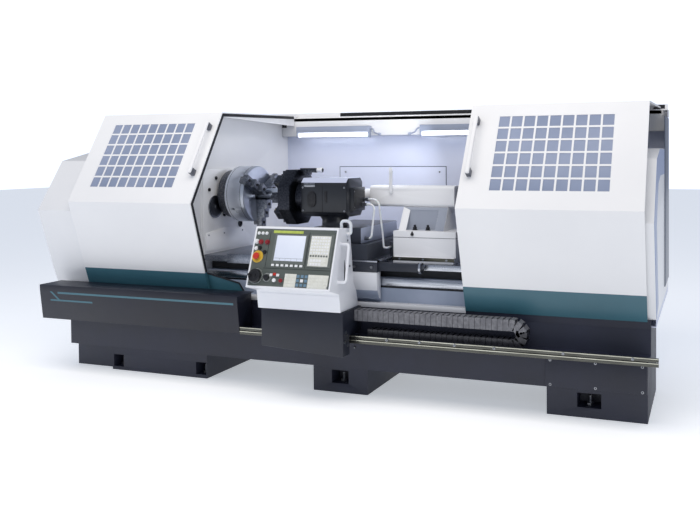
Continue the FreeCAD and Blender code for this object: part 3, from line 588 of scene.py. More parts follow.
def seal(name, line, x0, x1, thick, finish, body):
    # A rubber strip of one section, bent round the corners of the line.
    bm = bmesh.new()
    outer, inner = line, moved_in(line, thick)
    for x in (x0, x1):
        for p in outer + inner[::-1]:
            bm.verts.new((x, *p))
    bm.verts.ensure_lookup_table()
    n = 2 * len(line)
    faces = []
    for i in range(len(line) - 1):
        j = n - 1 - i
        faces.append(bm.faces.new([bm.verts[k] for k in (i, i + 1, j - 1, j)]))
        faces.append(bm.faces.new([bm.verts[n + k] for k in (i, j, j - 1, i + 1)]))
    for i in range(n):
        j = (i + 1) % n
        faces.append(bm.faces.new([bm.verts[k] for k in (i, n + i, n + j, j)]))
    bmesh.ops.recalc_face_normals(bm, faces=faces)
    return own(name, eased_mesh(bm, name, min(thick, abs(x1 - x0)) * 0.3, 3), finish, body)


KNEE, ROOF = Vector((0, *DOOR_LINE[2])), Vector((0, *DOOR_LINE[3]))
slope_length = (ROOF - KNEE).length
up_slope = (ROOF - KNEE).normalized()
off_slope = Vector((0, -up_slope.z, up_slope.y))
slope_frame = Matrix((Vector((1, 0, 0)), up_slope, off_slope)).transposed().to_4x4()
slope_frame.translation = KNEE

for side, body, open_end in (("left", "left_door", 1), ("right", "right_door", -1)):
    shell = refinished(side + "_door_shell", body, white_paint, 0.0)
    shell.data.shade_flat()
    shell.data.materials.append(teal)
    low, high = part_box(side + "_door_shell")
    for face in shell.data.polygons:
        if face.center.z < BAND_TOP and face.center.y < -0.3585:
            face.material_index = 1
    refinished(side + "_door_glass", body, window_glass, 0.0008)
    # Frame bars of the handle are white tube; its end blocks are grey castings.
    h_low, h_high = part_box(side + "_door_handle")
    middle = (h_low.x + h_high.x) / 2
    bm = bmesh.new()
    for share in (0.29, 0.79):
        u0, u1 = slope_length * share, slope_length * (share + 0.06)
        add_box(bm, (middle - 0.0138, u0 + 0.001, 0.0), (middle + 0.0138, u1 - 0.001, 0.044), slope_frame)
        add_box(bm, (middle - 0.0139, u0, 0.0), (middle + 0.0139, u1, 0.005), slope_frame)
    blocks = eased_mesh(bm, side + "_handle_blocks", 0.004, 3)
    own(side + "_handle_blocks", blocks, cast_aluminium, body)
    bm = bmesh.new()
    add_box(bm, (middle - 0.013, slope_length * 0.29, 0.04), (middle + 0.013, slope_length * 0.85, 0.058),
            slope_frame)
    grip = eased_mesh(bm, side + "_handle_grip", 0.006, 4)
    own(side + "_handle_grip", grip, white_paint, body, [side + "_door_handle"])
    # A seal is pressed on the return of the open end.
    if open_end > 0:
        run = moved_in(list(DOOR_LINE), 0.008)[1:]
        run[-1] = (0.79, run[-1][1])
        seal("left_door_seal", run, high.x - 0.002, high.x + 0.0016, 0.022, gasket_rubber, body)
    screws(side + "_window_screws", [slope_frame @ Vector((x, slope_length * u,
                                                           -0.0085)) for u in (0.13, 0.52, 0.915)
           for x in (h_low.x - 0.2, h_low.x + 0.2) if low.x + 0.1 < x < high.x - 0.1], -off_slope, 0.004, 0.003,
           screw_steel, body)


# Front tray and door lip: folded sheet under the doors; the dark box at the left holds the lubrication unit.
lip_paint = enamel("lip_paint", (0.8, 0.81, 0.84), (0.74, 0.755, 0.79), 0.26)
tray = refinished("front_tray", "frame", lip_paint, 0.0009)
tray.data.materials.append(teal)
tray.data.materials.append(casting_paint)
for face in tray.data.polygons:
    if face.center.z > 0.607 and face.center.x < -0.7:
        face.material_index = 1
    if face.center.z < 0.545 or face.center.y < -0.3595 and face.center.z < 0.56:
        face.material_index = 2
panel_paint = cast_paint("panel_paint", (0.01, 0.0115, 0.022), (0.007, 0.008, 0.016), 0.4)
refinished("left_front_panel", "frame", panel_paint, 0.004)
box_low, box_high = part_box("left_front_panel")
FACE_TOP, FACE_BOTTOM = Vector((0, -0.583, 0.594)), Vector((0, -0.560, 0.394))
face_down = (FACE_BOTTOM - FACE_TOP).normalized()
face_out = Vector((0, face_down.z, -face_down.y))
panel_frame = Matrix((Vector((1, 0, 0)), face_down, face_out)).transposed().to_4x4()
panel_frame.translation = FACE_TOP
stripes = bmesh.new()
add_box(stripes, (box_low.x + 0.16, 0.002, -0.0005), (box_high.x - 0.03, 0.016, 0.0008), panel_frame)
add_box(stripes, (box_low.x + 0.09, 0.058, -0.0005), (box_low.x + 0.46, 0.07, 0.0008), panel_frame)
add_prism(stripes, [(0, 0), (0.02, 0), (0.085, 0.056), (0.065, 0.056)], 2, -0.0005, 0.0008)
hook = [v for v in stripes.verts][-8:]
for v in hook:
    v.co = panel_frame @ (v.co + Vector((box_low.x + 0.09, 0.002, 0)))
own("panel_stripes", eased_mesh(stripes, "panel_stripes", 0.0003, 1), teal, "frame")


def add_tube(bm, points, radius, sides=14, section=None):
    # A round bar through the points, each joint square to the mean of its two runs.
    points = [Vector(p) for p in points]
    rings = []
    for i, p in enumerate(points):
        before = (p - points[i - 1]).normalized() if i else (points[1] - p).normalized()
        after = (points[i + 1] - p).normalized() if i + 1 < len(points) else before
        middle = (before + after).normalized()
        if i == 0:
            side = middle.orthogonal().normalized()
        side = (side - middle * side.dot(middle)).normalized()
        cross = middle.cross(side)
        stretch = 1 / max(0.3, middle.dot(before))
        bend = (after - before)
        out = bend.normalized() if bend.length > 1e-4 else None
        ring = []
        for k in range(sides):
            angle = 2 * math.pi * k / sides
            arm = side * math.cos(angle) + cross * math.sin(angle)
            if out is not None:
                arm = arm + out * arm.dot(out) * (stretch - 1)
            ring.append(bm.verts.new(p + arm * radius))
        rings.append(ring)
    faces = [bm.faces.new(rings[0][::-1]), bm.faces.new(rings[-1])]
    for a, b in zip(rings, rings[1:]):
        for i in range(sides):
            j = (i + 1) % sides
            faces.append(bm.faces.new((a[i], a[j], b[j], b[i])))
    bmesh.ops.recalc_face_normals(bm, faces=faces)


def rounded(points, radius, steps=6):
    # The corner points of a bent bar turned into short arcs.
    points = [Vector(p) for p in points]
    path = [points[0]]
    for a, b, c in zip(points, points[1:], points[2:]):
        r = min(radius, (a - b).length * 0.49, (c - b).length * 0.49)
        start, end = b + (a - b).normalized() * r, b + (c - b).normalized() * r
        for i in range(steps + 1):
            t = i / steps
            path.append(start * (1 - t) ** 2 + b * 2 * t * (1 - t) + end * t * t)
    path.append(points[-1])
    return path


tray_low, tray_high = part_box("front_tray")
bm = bmesh.new()
add_box(bm, (-0.705, -0.3587, 0.574), (0.866, -0.3575, 0.6038))
own("tray_lip_edge", eased_mesh(bm, "tray_lip_edge", 0.0007), lip_paint, "frame")
bm = bmesh.new()
add_box(bm, (tray_low.x + 0.001, -0.3588, 0.5465), (-0.7052, -0.3575, 0.6035))
add_box(bm, (-0.705, -0.3588, 0.5465), (tray_high.x - 0.001, -0.3575, 0.574))
add_box(bm, (0.8662, -0.3588, 0.574), (tray_high.x - 0.001, -0.3575, 0.6035))
own("tray_wall_paint", eased_mesh(bm, "tray_wall_paint", 0.0003, 1), casting_paint, "frame")
bm = bmesh.new()
add_tube(bm, [(-0.985, -0.3778, 0.7425), (-0.742, -0.3578, 0.6815), (-0.7115, -0.3345, 0.612)], 0.0055, 10)
own("guard_seal", eased_mesh(bm, "guard_seal", 0.0), gasket_rubber, "frame")
rail_steel = steel("rail_steel", (0.13, 0.13, 0.115), (0.08, 0.08, 0.07), 0.2, 0.36, (0.04, 1, 1), 220)
refinished("front_rail", "frame", rail_steel, 0.0022)
# Two thin pale yellowish strips along the rail's front are painted highlights on its upper edges.
painted_highlight_steel = steel("painted_highlight_steel", (0.75, 0.74, 0.62), (0.5, 0.49, 0.4), 0.2, 0.36, (0.03, 1, 1), 220)
rail_low, rail_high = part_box("front_rail")
bm = bmesh.new()
for z in (rail_high.z - 0.007, rail_high.z - 0.032):
    add_box(bm, (rail_low.x + 0.001, rail_low.y - 0.0008, z),
            (rail_high.x - 0.001, rail_low.y + 0.001, z + 0.005))
own("rail_painted_highlights", eased_mesh(bm, "rail_painted_highlights", 0.0004, 1), painted_highlight_steel, "frame")

# Energy chain: moulded links, each with two side plates and a lid, snapped into a chain that lies in the tray.
chain_low, chain_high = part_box("cable_chain")
chain_plastic, shader = new_finish("chain_plastic", 0.38)
tree = chain_plastic.node_tree
tone(tree, shader, place_of(tree), 55, (0.2, 0.2, 0.215), (0.13, 0.13, 0.145))
relief(tree, shader, place_of(tree), 1100, 0.0002)
# The lower run, deeper in the tray, gets a darker copy of the link plastic: painted shade.
lower_run_painted_shade, shader = new_finish("lower_run_painted_shade", 0.3)
tree = lower_run_painted_shade.node_tree
tone(tree, shader, place_of(tree), 55, (0.04, 0.04, 0.048), (0.022, 0.022, 0.028))
relief(tree, shader, place_of(tree), 1100, 0.0002)
LINK_HEIGHT = 0.068
upper_level, lower_level = chain_high.z - LINK_HEIGHT / 2, chain_low.z + LINK_HEIGHT / 2
bend_radius = (upper_level - lower_level) / 2
bend_x = chain_high.x - bend_radius - LINK_HEIGHT / 2
chain_y = (chain_low.y + chain_high.y) / 2
link_line = [(chain_low.x, chain_y, upper_level), (bend_x, chain_y, upper_level)]
for i in range(1, 16):
    angle = math.pi / 2 - math.pi * i / 16
    link_line.append((bend_x + bend_radius * math.cos(angle), chain_y,
                      (upper_level + lower_level) / 2 + bend_radius * math.sin(angle)))
link_line += [(bend_x, chain_y, lower_level), (chain_low.x + 0.1, chain_y, lower_level)]
link_tree, ask = start_tree("chain_links", {"Pitch": 0.034, "Width": 0.08, "Height": LINK_HEIGHT,
                                            "Wall": 0.009})
curve = put(link_tree, "GeometryNodeMeshToCurve", [("Mesh", ask["Geometry"])])
spaced = put(link_tree, "GeometryNodeResampleCurve", [("Curve", curve.outputs[0]),
                                                      ("Length", ask["Pitch"])],
             mode="LENGTH")
along = put(link_tree, "GeometryNodeInputTangent").outputs[0]
facing = put(link_tree, "FunctionNodeAlignRotationToVector", [("Vector", along)], axis="X")
flat = put(link_tree, "FunctionNodeAlignRotationToVector", [("Rotation", facing.outputs[0]),
           ("Vector", (0.0, 1.0, 0.0))], axis="Y", pivot_axis="X")
plate_size = put(link_tree, "ShaderNodeCombineXYZ", [("X", ask["Pitch"]), ("Y", ask["Wall"]),
                                                     ("Z", ask["Height"])])
plate = put(link_tree, "GeometryNodeMeshCube", [("Size", plate_size.outputs[0])])
inside = put(link_tree, "ShaderNodeMath", [(0, ask["Width"]), (1, ask["Wall"])], operation="SUBTRACT")
halved = put(link_tree, "ShaderNodeMath", [(0, inside.outputs[0]), (1, 0.5)], operation="MULTIPLY")
other = put(link_tree, "ShaderNodeMath", [(0, halved.outputs[0]), (1, -1.0)], operation="MULTIPLY")
near = put(link_tree, "GeometryNodeTransform", [("Geometry", plate.outputs["Mesh"]), ("Translation",
           put(link_tree, "ShaderNodeCombineXYZ", [("Y", other.outputs[0])]).outputs[0])])
far = put(link_tree, "GeometryNodeTransform", [("Geometry", plate.outputs["Mesh"]), ("Translation",
          put(link_tree, "ShaderNodeCombineXYZ", [("Y", halved.outputs[0])]).outputs[0])])
lid_length = put(link_tree, "ShaderNodeMath", [(0, ask["Pitch"]), (1, 0.72)], operation="MULTIPLY")
lid_size = put(link_tree, "ShaderNodeCombineXYZ", [("X", lid_length.outputs[0]), ("Y", inside.outputs[0]),
                                                   ("Z", 0.006)])
lid = put(link_tree, "GeometryNodeMeshCube", [("Size", lid_size.outputs[0])])
rise = put(link_tree, "ShaderNodeMath", [(0, ask["Height"]), (1, 0.46)], operation="MULTIPLY")
drop = put(link_tree, "ShaderNodeMath", [(0, rise.outputs[0]), (1, -1.0)], operation="MULTIPLY")
upper_lid = put(link_tree, "GeometryNodeTransform", [("Geometry", lid.outputs["Mesh"]), ("Translation",
                put(link_tree, "ShaderNodeCombineXYZ", [("Z", rise.outputs[0])]).outputs[0])])
lower_lid = put(link_tree, "GeometryNodeTransform", [("Geometry", lid.outputs["Mesh"]), ("Translation",
                put(link_tree, "ShaderNodeCombineXYZ", [("Z", drop.outputs[0])]).outputs[0])])
knuckle_radius = put(link_tree, "ShaderNodeMath", [(0, ask["Height"]), (1, 0.2)], operation="MULTIPLY")
knuckle_length = put(link_tree, "ShaderNodeMath", [(0, ask["Width"]), (1, 0.002)], operation="ADD")
knuckle = put(link_tree, "GeometryNodeMeshCylinder", [("Vertices", 12),
                                                      ("Radius", knuckle_radius.outputs[0]),
                                                      ("Depth", knuckle_length.outputs[0])])
turned = put(link_tree, "GeometryNodeTransform", [("Geometry", knuckle.outputs["Mesh"]),
                                                  ("Rotation", (math.pi / 2, 0, 0))])
link = put(link_tree, "GeometryNodeJoinGeometry")
for part in (near, far, upper_lid, lower_lid, turned):
    link_tree.links.new(part.outputs[0], link.inputs[0])
shrunk = put(link_tree, "GeometryNodeTransform", [("Geometry", link.outputs[0]),
                                                  ("Scale", (0.94, 1, 0.97))])
placed = put(link_tree, "GeometryNodeInstanceOnPoints", [("Points", spaced.outputs[0]),
             ("Instance", shrunk.outputs[0]), ("Rotation", flat.outputs[0])])
end_tree(link_tree, ask, placed.outputs[0])
# The links are baked in place along the line; rolls names the station, the frame and two points on the upper run.
rolls = ("station", "frame", (chain_low.x - 0.02, chain_y, upper_level),
         (chain_high.x + 0.17, chain_y, upper_level))
for name, run, finish in (("upper", link_line[:8], chain_plastic), ("lower", link_line[8:], lower_run_painted_shade)):
    line_mesh = bpy.data.meshes.new(name + "_line")
    line_mesh.from_pydata(run, [(i, i + 1) for i in range(len(run) - 1)], [])
    stands_for = ["cable_chain"] if name == "upper" else ()
    grow(name + "_chain_links", link_tree, line_mesh, {"Width": 0.078}, finish, rolls,
         stands_for)


# Rear wall and header: sprayed sheet; the wall has a screwed access panel, the header carries the upper door rail
# with its toothed drive strip.
rear_paint = enamel("rear_paint", (0.7, 0.74, 0.88), (0.65, 0.69, 0.84), 0.32)
refinished("rear_wall", "frame", rear_paint, 0.0008)
refinished("rear_chip_pan", "frame", rear_paint, 0.0008)
refinished("header", "frame", white_paint, 0.0012)
wall_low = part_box("rear_wall")[0]
PANEL_LEFT, PANEL_RIGHT, PANEL_LOW, PANEL_TOP = -0.6, 0.315, 0.95, 1.447
bm = bmesh.new()
inner_wall = wall_low.y
add_box(bm, (PANEL_LEFT, inner_wall - 0.004, PANEL_LOW), (PANEL_RIGHT, inner_wall + 0.001, PANEL_TOP))
own("access_panel", eased_mesh(bm, "access_panel", 0.0015), rear_paint, "frame")
panel_spots = [(x, inner_wall - 0.004, z) for x in (PANEL_LEFT + 0.05, -0.14, PANEL_RIGHT - 0.05)
               for z in (PANEL_LOW + 0.04, PANEL_TOP - 0.04)]
screws("access_panel_screws", panel_spots, (0, -1, 0), 0.007, 0.004, screw_steel)
header_low, header_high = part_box("header")
tooth_tree, ask = start_tree("toothed_strip", {"Length": 1.0, "Pitch": 0.012,
                                               "Tooth": (0.007, 0.012, 0.006)})
count = put(tooth_tree, "ShaderNodeMath", [(0, ask["Length"]), (1, ask["Pitch"])], operation="DIVIDE")
step = put(tooth_tree, "ShaderNodeCombineXYZ", [("X", ask["Pitch"])])
line = put(tooth_tree, "GeometryNodeMeshLine", [("Count", count.outputs[0]), ("Offset", step.outputs[0])])
rows = put(tooth_tree, "GeometryNodeInstanceOnPoints", [("Points", ask["Geometry"]),
                                                        ("Instance", line.outputs[0])])
spread = put(tooth_tree, "GeometryNodeRealizeInstances", [("Geometry", rows.outputs[0])])
tooth = put(tooth_tree, "GeometryNodeMeshCube", [("Size", ask["Tooth"])])
placed = put(tooth_tree, "GeometryNodeInstanceOnPoints", [("Points", spread.outputs[0]),
                                                          ("Instance", tooth.outputs["Mesh"])])
end_tree(tooth_tree, ask, placed.outputs[0])
STRIP_LEFT = -0.575
strip_z = header_high.z - 0.026
grow("toothed_strip", tooth_tree, points_only("toothed_strip", [(STRIP_LEFT, 0.8575, strip_z + 0.009)]),
     {"Length": header_high.x - 0.05 - STRIP_LEFT, "Tooth": (0.007, 0.006,
                                                             0.014)}, black_plastic, "frame")
bm = bmesh.new()
add_box(bm, (STRIP_LEFT - 0.01, 0.8555, strip_z - 0.008),
        (header_high.x - 0.02, 0.8585, header_high.z - 0.004))
own("strip_backing", eased_mesh(bm, "strip_backing", 0.0008), black_plastic, "frame")
olive = steel("rail_olive", (0.16, 0.155, 0.12), (0.1, 0.098, 0.075), 0.35, 0.5, (0.05, 1, 1), 120)
bm = bmesh.new()
add_box(bm, (header_low.x + 0.4, header_low.y - 0.0, header_high.z - 0.07), (header_high.x - 0.04,
        header_low.y + 0.001, header_high.z - 0.046))
own("rail_line", eased_mesh(bm, "rail_line", 0.0004, 1), olive, "frame")

# Work lamps: two folded housings under the header, each with a tube between end caps and a bent cable arm.
slate_paint = enamel("slate_paint", (0.11, 0.13, 0.18), (0.08, 0.1, 0.14), 0.36)
lamp_metal = enamel("lamp_metal", (0.36, 0.4, 0.5), (0.3, 0.34, 0.44), 0.35)
refinished("lamp_housings", "frame", lamp_metal, 0.002)
lamp_plastic, shader = new_finish("lamp_plastic", 0.4)
tree = lamp_plastic.node_tree
tone(tree, shader, place_of(tree), 8, (0.95, 0.96, 1.0), (0.9, 0.92, 0.98))
shader.inputs["Emission Color"].default_value = (0.93, 0.96, 1.0, 1)
shader.inputs["Emission Strength"].default_value = 4.0
bm = bmesh.new()
for left, right_edge in ((-0.918, -0.294), (0.16, 0.784)):
    add_turned(bm, (left, 0.771, 1.706), (1, 0, 0), [(0, 0.009), (0.001, 0.0125),
                                                     (right_edge - left - 0.001, 0.0125),
               (right_edge - left, 0.009)], 28)
own("lamp_tubes_slim", eased_mesh(bm, "lamp_tubes_slim", 0.0), lamp_plastic, "frame",
    ["lamp_tubes"])


bm = bmesh.new()
for x, way in ((-0.282, 1), (0.148, -1)):
    add_tube(bm, rounded([(x - way * 0.02, 0.775, 1.752), (x + way * 0.03, 0.775, 1.752),
                          (x + way * 0.04, 0.76, 1.72), (x + way * 0.08, 0.76, 1.708)], 0.02), 0.006, 12)
    add_turned(bm, (x + way * 0.075, 0.76, 1.7095), (way, 0, -0.19),
               [(0, 0.009), (0.004, 0.011), (0.022, 0.011),
                                                                    (0.024, 0.008)], 16)
own("lamp_arms", eased_mesh(bm, "lamp_arms", 0.0), lamp_metal, "frame")
bm = bmesh.new()
add_box(bm, (-1.09, 0.79, 1.772), (-1.05, 0.801, 1.82))
add_turned(bm, (-1.07, 0.795, 1.79), (0, -1, 0), [(0, 0.012), (0.01, 0.012), (0.012, 0.009)], 16)
own("door_stop", eased_mesh(bm, "door_stop", 0.0015), black_plastic, "frame")
cover_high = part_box("right_end_cover")[1]
bm = bmesh.new()
add_box(bm, (cover_high.x - 0.001, 0.44, 0.66), (cover_high.x + 0.006, cover_high.y - 0.002, 1.79))
own("right_post", eased_mesh(bm, "right_post", 0.003), slate_paint, "frame")
bm = bmesh.new()
add_box(bm, (cover_high.x - 0.03, 0.7, 1.8405), (cover_high.x + 0.012, 0.8, 1.8435))
add_box(bm, (cover_high.x + 0.009, 0.7, 1.79), (cover_high.x + 0.012, 0.8, 1.842))
own("header_bracket", eased_mesh(bm, "header_bracket", 0.001), white_paint, "frame")
# A blue-grey band along the front edges of the right end cover is painted shade under the right door's overhang,
# laid on as a thin plate.
flange_painted_shade = enamel("flange_painted_shade", (0.3, 0.37, 0.58), (0.25, 0.32, 0.52), 0.36)
bm = bmesh.new()
COVER_LINE = [(-0.336, 0.606), (-0.387, 0.746), (-0.511, 1.16), (-0.286, 1.509), (-0.03, 1.568),
              (0.4, 1.568)]
add_prism(bm, COVER_LINE + moved_in(COVER_LINE, 0.16)[::-1], 0, cover_high.x - 0.0005,
          cover_high.x + 0.0025)
own("right_end_painted_shade", eased_mesh(bm, "right_end_painted_shade", 0.001, 1), flange_painted_shade, "frame")
# A slate frame just larger than the access panel is painted shadow in the gap round it.
bm = bmesh.new()
add_box(bm, (PANEL_LEFT - 0.006, inner_wall - 0.0015, PANEL_LOW - 0.006),
        (PANEL_RIGHT + 0.006, inner_wall + 0.001,
        PANEL_TOP + 0.006))
own("access_panel_shadow_gap", eased_mesh(bm, "access_panel_shadow_gap", 0.0004, 1), slate_paint, "frame")


# Telescopic way covers: three stages of folded stainless sheet, each end with a rubber wiper strip.
cover_steel = steel("cover_steel", (0.36, 0.38, 0.43), (0.22, 0.24, 0.28), 0.26, 0.42, (1, 0.06, 1), 150)
for node, body in (("fixed_way_cover", "frame"), ("middle_way_cover", "middle_cover"),
                   ("carriage_way_cover", "carriage")):
    refinished(node, body, cover_steel, 0.001)
    low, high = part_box(node)
    bm = bmesh.new()
    add_box(bm, (high.x - 0.004, low.y + 0.001, high.z - 0.012),
            (high.x + 0.004, high.y - 0.001, high.z + 0.0003))
    wiper = eased_mesh(bm, node + "_wiper", 0.001)
    own(node + "_wiper", wiper, gasket_rubber, body)


# Carriage: a cast saddle scraped to the ways, a white apron casting in front and a round-ended tow bar that
# reaches for the tailstock.
slide_paint = cast_paint("slide_paint", (0.035, 0.04, 0.055), (0.023, 0.027, 0.038), 0.36)
refinished("saddle", "carriage", slide_paint, 0.003)
apron_paint = enamel("apron_paint", (0.8, 0.815, 0.85), (0.76, 0.775, 0.82), 0.36)
apron = refinished("apron", "carriage", apron_paint, 0.006)
apron.data.materials.append(bed_paint)
# The apron's lower front faces take the bed's blue-grey: painted shade under the white apron.
for face in apron.data.polygons:
    if face.center.y < -0.299 and face.center.z < 0.683:
        face.material_index = 1
saddle_low, saddle_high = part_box("saddle")
bm = bmesh.new()
add_box(bm, (saddle_low.x - 0.003, saddle_low.y - 0.004, 0.862),
        (saddle_high.x + 0.003, saddle_low.y + 0.05, 0.872))
add_box(bm, (saddle_high.x - 0.05, saddle_low.y - 0.003, 0.862), (saddle_high.x + 0.003, -0.12, 0.872))
own("saddle_wiper_frame", eased_mesh(bm, "saddle_wiper_frame", 0.002), ground_steel, "carriage")
way_screws = [(x, saddle_low.y - 0.0002, 0.83) for x in (-0.29, -0.16, -0.02, 0.12, 0.24)]
screws("saddle_gib_screws", way_screws, (0, -1, 0), 0.009, 0.007, screw_steel, "carriage")
tow_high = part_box("tow_bar")[1]
refinished("tow_bar", "carriage", slide_paint, 0.003)
bm = bmesh.new()
add_turned(bm, (tow_high.x - 0.004, -0.325, 0.832), (1, 0, 0),
           [(-0.012, 0.036), (0.0, 0.036), (0.003, 0.033),
           (0.003, 0.015), (0.0, 0.013)], 40)
own("tow_flange", eased_mesh(bm, "tow_flange", 0.0), ground_steel, "carriage")
holes = [(tow_high.x - 0.0012, -0.325 + 0.024 * math.cos(a),
          0.832 + 0.024 * math.sin(a)) for a in (1.57, 3.67, 5.76)]
screws("tow_flange_screws", holes, (1, 0, 0), 0.006, 0.003, black_plastic, "carriage")


# Cross slide and turret: a dovetail slide, then an indexing head with an octagonal disc that carries eight
# holders. Charcoal enamel over castings, with a machined cap joint and an oval cover on the front.
# The slide's faces that look to +X get a pale blue-grey over the dark enamel: a painted highlight.
slide_side_highlight = enamel("slide_side_painted_highlight", (0.4, 0.44, 0.56), (0.36, 0.4, 0.52), 0.32)
slide = refinished("cross_slide", "cross", slide_paint, 0.004)
slide.data.materials.append(slide_side_highlight)
for face in slide.data.polygons:
    if face.normal.x > 0.9:
        face.material_index = 1
turret_paint = enamel("turret_paint", (0.013, 0.015, 0.02), (0.008, 0.0095, 0.013), 0.3, 0.0003, 0.35)
# Upward faces at the top of the housing get a pale blue-grey over the dark enamel: a painted highlight.
cap_painted_highlight = enamel("cap_painted_highlight", (0.52, 0.56, 0.7), (0.48, 0.52, 0.66), 0.26)
housing = refinished("turret_housing", "cross", turret_paint, 0.003)
house_low, house_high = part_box("turret_housing")
housing.data.materials.append(cap_painted_highlight)
for face in housing.data.polygons:
    if face.normal.z > 0.3 and face.center.z > house_high.z - 0.04:
        face.material_index = 1
front = house_low.y
bm = bmesh.new()
add_box(bm, (-0.094, front - 0.0015, 1.176), (-0.09, front + 0.001, 1.365))
add_box(bm, (-0.075, front - 0.004, 1.24), (-0.058, front + 0.001, 1.31))
add_box(bm, (-0.244, front - 0.002, 1.352), (0.079, front + 0.001, 1.356))
oval = [(-0.168 + 0.034 * math.cos(a) , 1.258 + 0.052 * math.sin(a)) for a in
        (2 * math.pi * i / 40 for i in range(40))]
oval = [(-0.168 + math.copysign(min(abs(x + 0.168), 0.03), x + 0.168), z) for x, z in oval]
add_prism(bm, oval, 1, front - 0.006, front + 0.001)
own("turret_front_details", eased_mesh(bm, "turret_front_details", 0.0012), black_plastic, "cross")
bm = bmesh.new()
add_box(bm, (-0.225, front - 0.0012, 1.338), (-0.145, front + 0.001, 1.364))
own("turret_blank_plate", eased_mesh(bm, "turret_blank_plate", 0.0006), screw_steel, "cross")
turret_spots = [(x, front, z) for x in (-0.232, 0.066) for z in (1.185, 1.335)]
screws("turret_front_screws", turret_spots, (0, -1, 0), 0.006, 0.004, screw_steel, "cross")
bm = bmesh.new()
add_turned(bm, (-0.062, -0.265, 1.0725), (0, 0, 1), [(0, 0.0868), (0.016, 0.0868), (0.02, 0.0862),
                                                     (0.022, 0.0856),
           (0.05, 0.0856), (0.0735, 0.1), (0.0735, 0.05)], 56)
own("turret_flange", eased_mesh(bm, "turret_flange", 0.0), turret_paint, "cross")
disc_steel = steel("disc_steel", (0.06, 0.063, 0.075), (0.03, 0.032, 0.04), 0.28, 0.42)
refinished("turret_disc", "turret", disc_steel, 0.004)
holder_steel = steel("holder_steel", (0.1, 0.105, 0.12), (0.045, 0.048, 0.058), 0.25, 0.4)
refinished("tool_holders", "turret", holder_steel, 0.003)
TURRET = Vector((0, -0.265, 1.268))
wedge_spots = []
carbide = steel("insert_carbide", (0.5, 0.42, 0.2), (0.36, 0.3, 0.14), 0.25, 0.4)
bm = bmesh.new()
for i in range(8):
    turn = Matrix.Translation(TURRET) @ Matrix.Rotation(math.radians(45 * i), 4, "X")
    tip = [(-0.452, 0.158), (-0.462, 0.1505), (-0.452, 0.143), (-0.442, 0.1505)]
    before = len(bm.verts)
    add_prism(bm, tip, 1, 0.016, 0.021)
    bm.verts.ensure_lookup_table()
    for v in bm.verts[before:]:
        v.co = turn @ Vector((v.co.x + 0.012, v.co.y, v.co.z - 0.0145))
    for y in (-0.02, 0.02):
        wedge_spots.append(turn @ Vector((-0.43, y, 0.106)))
own("tool_inserts", eased_mesh(bm, "tool_inserts", 0.0008), carbide, "turret")
screws("holder_screws", wedge_spots, (-1, 0, 0), 0.0075, 0.005, screw_steel, "turret")
bm = bmesh.new()
add_turned(bm, (-0.1695, TURRET.y, TURRET.z + 0.176), (1, 0, 0),
           [(-0.035, 0.0146), (0.0, 0.0146), (0.004, 0.0185),
           (0.016, 0.0185), (0.019, 0.016), (0.019, 0.009), (0.008, 0.008)], 32)
own("boring_bar_end", eased_mesh(bm, "boring_bar_end", 0.0), lip_paint, "turret")
bm = bmesh.new()
add_turned(bm, (-0.3845, TURRET.y, TURRET.z), (-1, 0, 0), [(-0.004, 0.07), (0.006, 0.07), (0.01, 0.066),
           (0.01, 0.03), (0.014, 0.027), (0.014, 0.004)], 48)
own("disc_hub_cap", eased_mesh(bm, "disc_hub_cap", 0.0), dark_steel, "turret")

# Coolant and hydraulic hoses: reinforced white tube with crimped ferrules on the terminal box and the saddle.
hose_plastic, shader = new_finish("hose_plastic", 0.32)
tree = hose_plastic.node_tree
tone(tree, shader, place_of(tree), 30, (0.8, 0.82, 0.84), (0.7, 0.72, 0.76))
relief(tree, shader, place_of(tree), 300, 0.0003)
shader.inputs["Subsurface Weight"].default_value = 0.08
refinished("hose_short", "cross", hose_plastic, 0.0)
slack = ("cross", "carriage", (0.228, -0.15, 1.2), (0.234, -0.15, 0.95))
refinished("hose_long", slack, hose_plastic, 0.0)
bm = bmesh.new()
ferrule = [(0, 0.0125), (0.006, 0.0125), (0.007, 0.0098), (0.028, 0.0098), (0.03, 0.0078)]
for spot, way in (((0.1022, -0.19, 1.217), (1, 0, 0)), ((0.1022, -0.165, 1.25), (1, 0, 0)),
                  ((0.1452, -0.25, 1.0), (1, 0, 0))):
    add_turned(bm, spot, way, ferrule, 20)
own("hose_ferrules", eased_mesh(bm, "hose_ferrules", 0.0), screw_steel, "cross")
bm = bmesh.new()
add_box(bm, (0.1021, -0.322, 1.195), (0.103, -0.156, 1.318))
own("terminal_lid", eased_mesh(bm, "terminal_lid", 0.001), black_plastic, "cross")
lid_spots = [(0.103, y, z) for y in (-0.313, -0.166) for z in (1.205, 1.308)]
screws("terminal_lid_screws", lid_spots, (1, 0, 0), 0.005, 0.0008, screw_steel, "cross")


# Tailstock: a white casting split into foot and barrel box, with a ground quill, a dead centre and its lever.
tail_paint = enamel("tailstock_paint", (0.83, 0.84, 0.86), (0.79, 0.8, 0.83), 0.33)
tail = refinished("tailstock_body", "tailstock", tail_paint, 0.005)
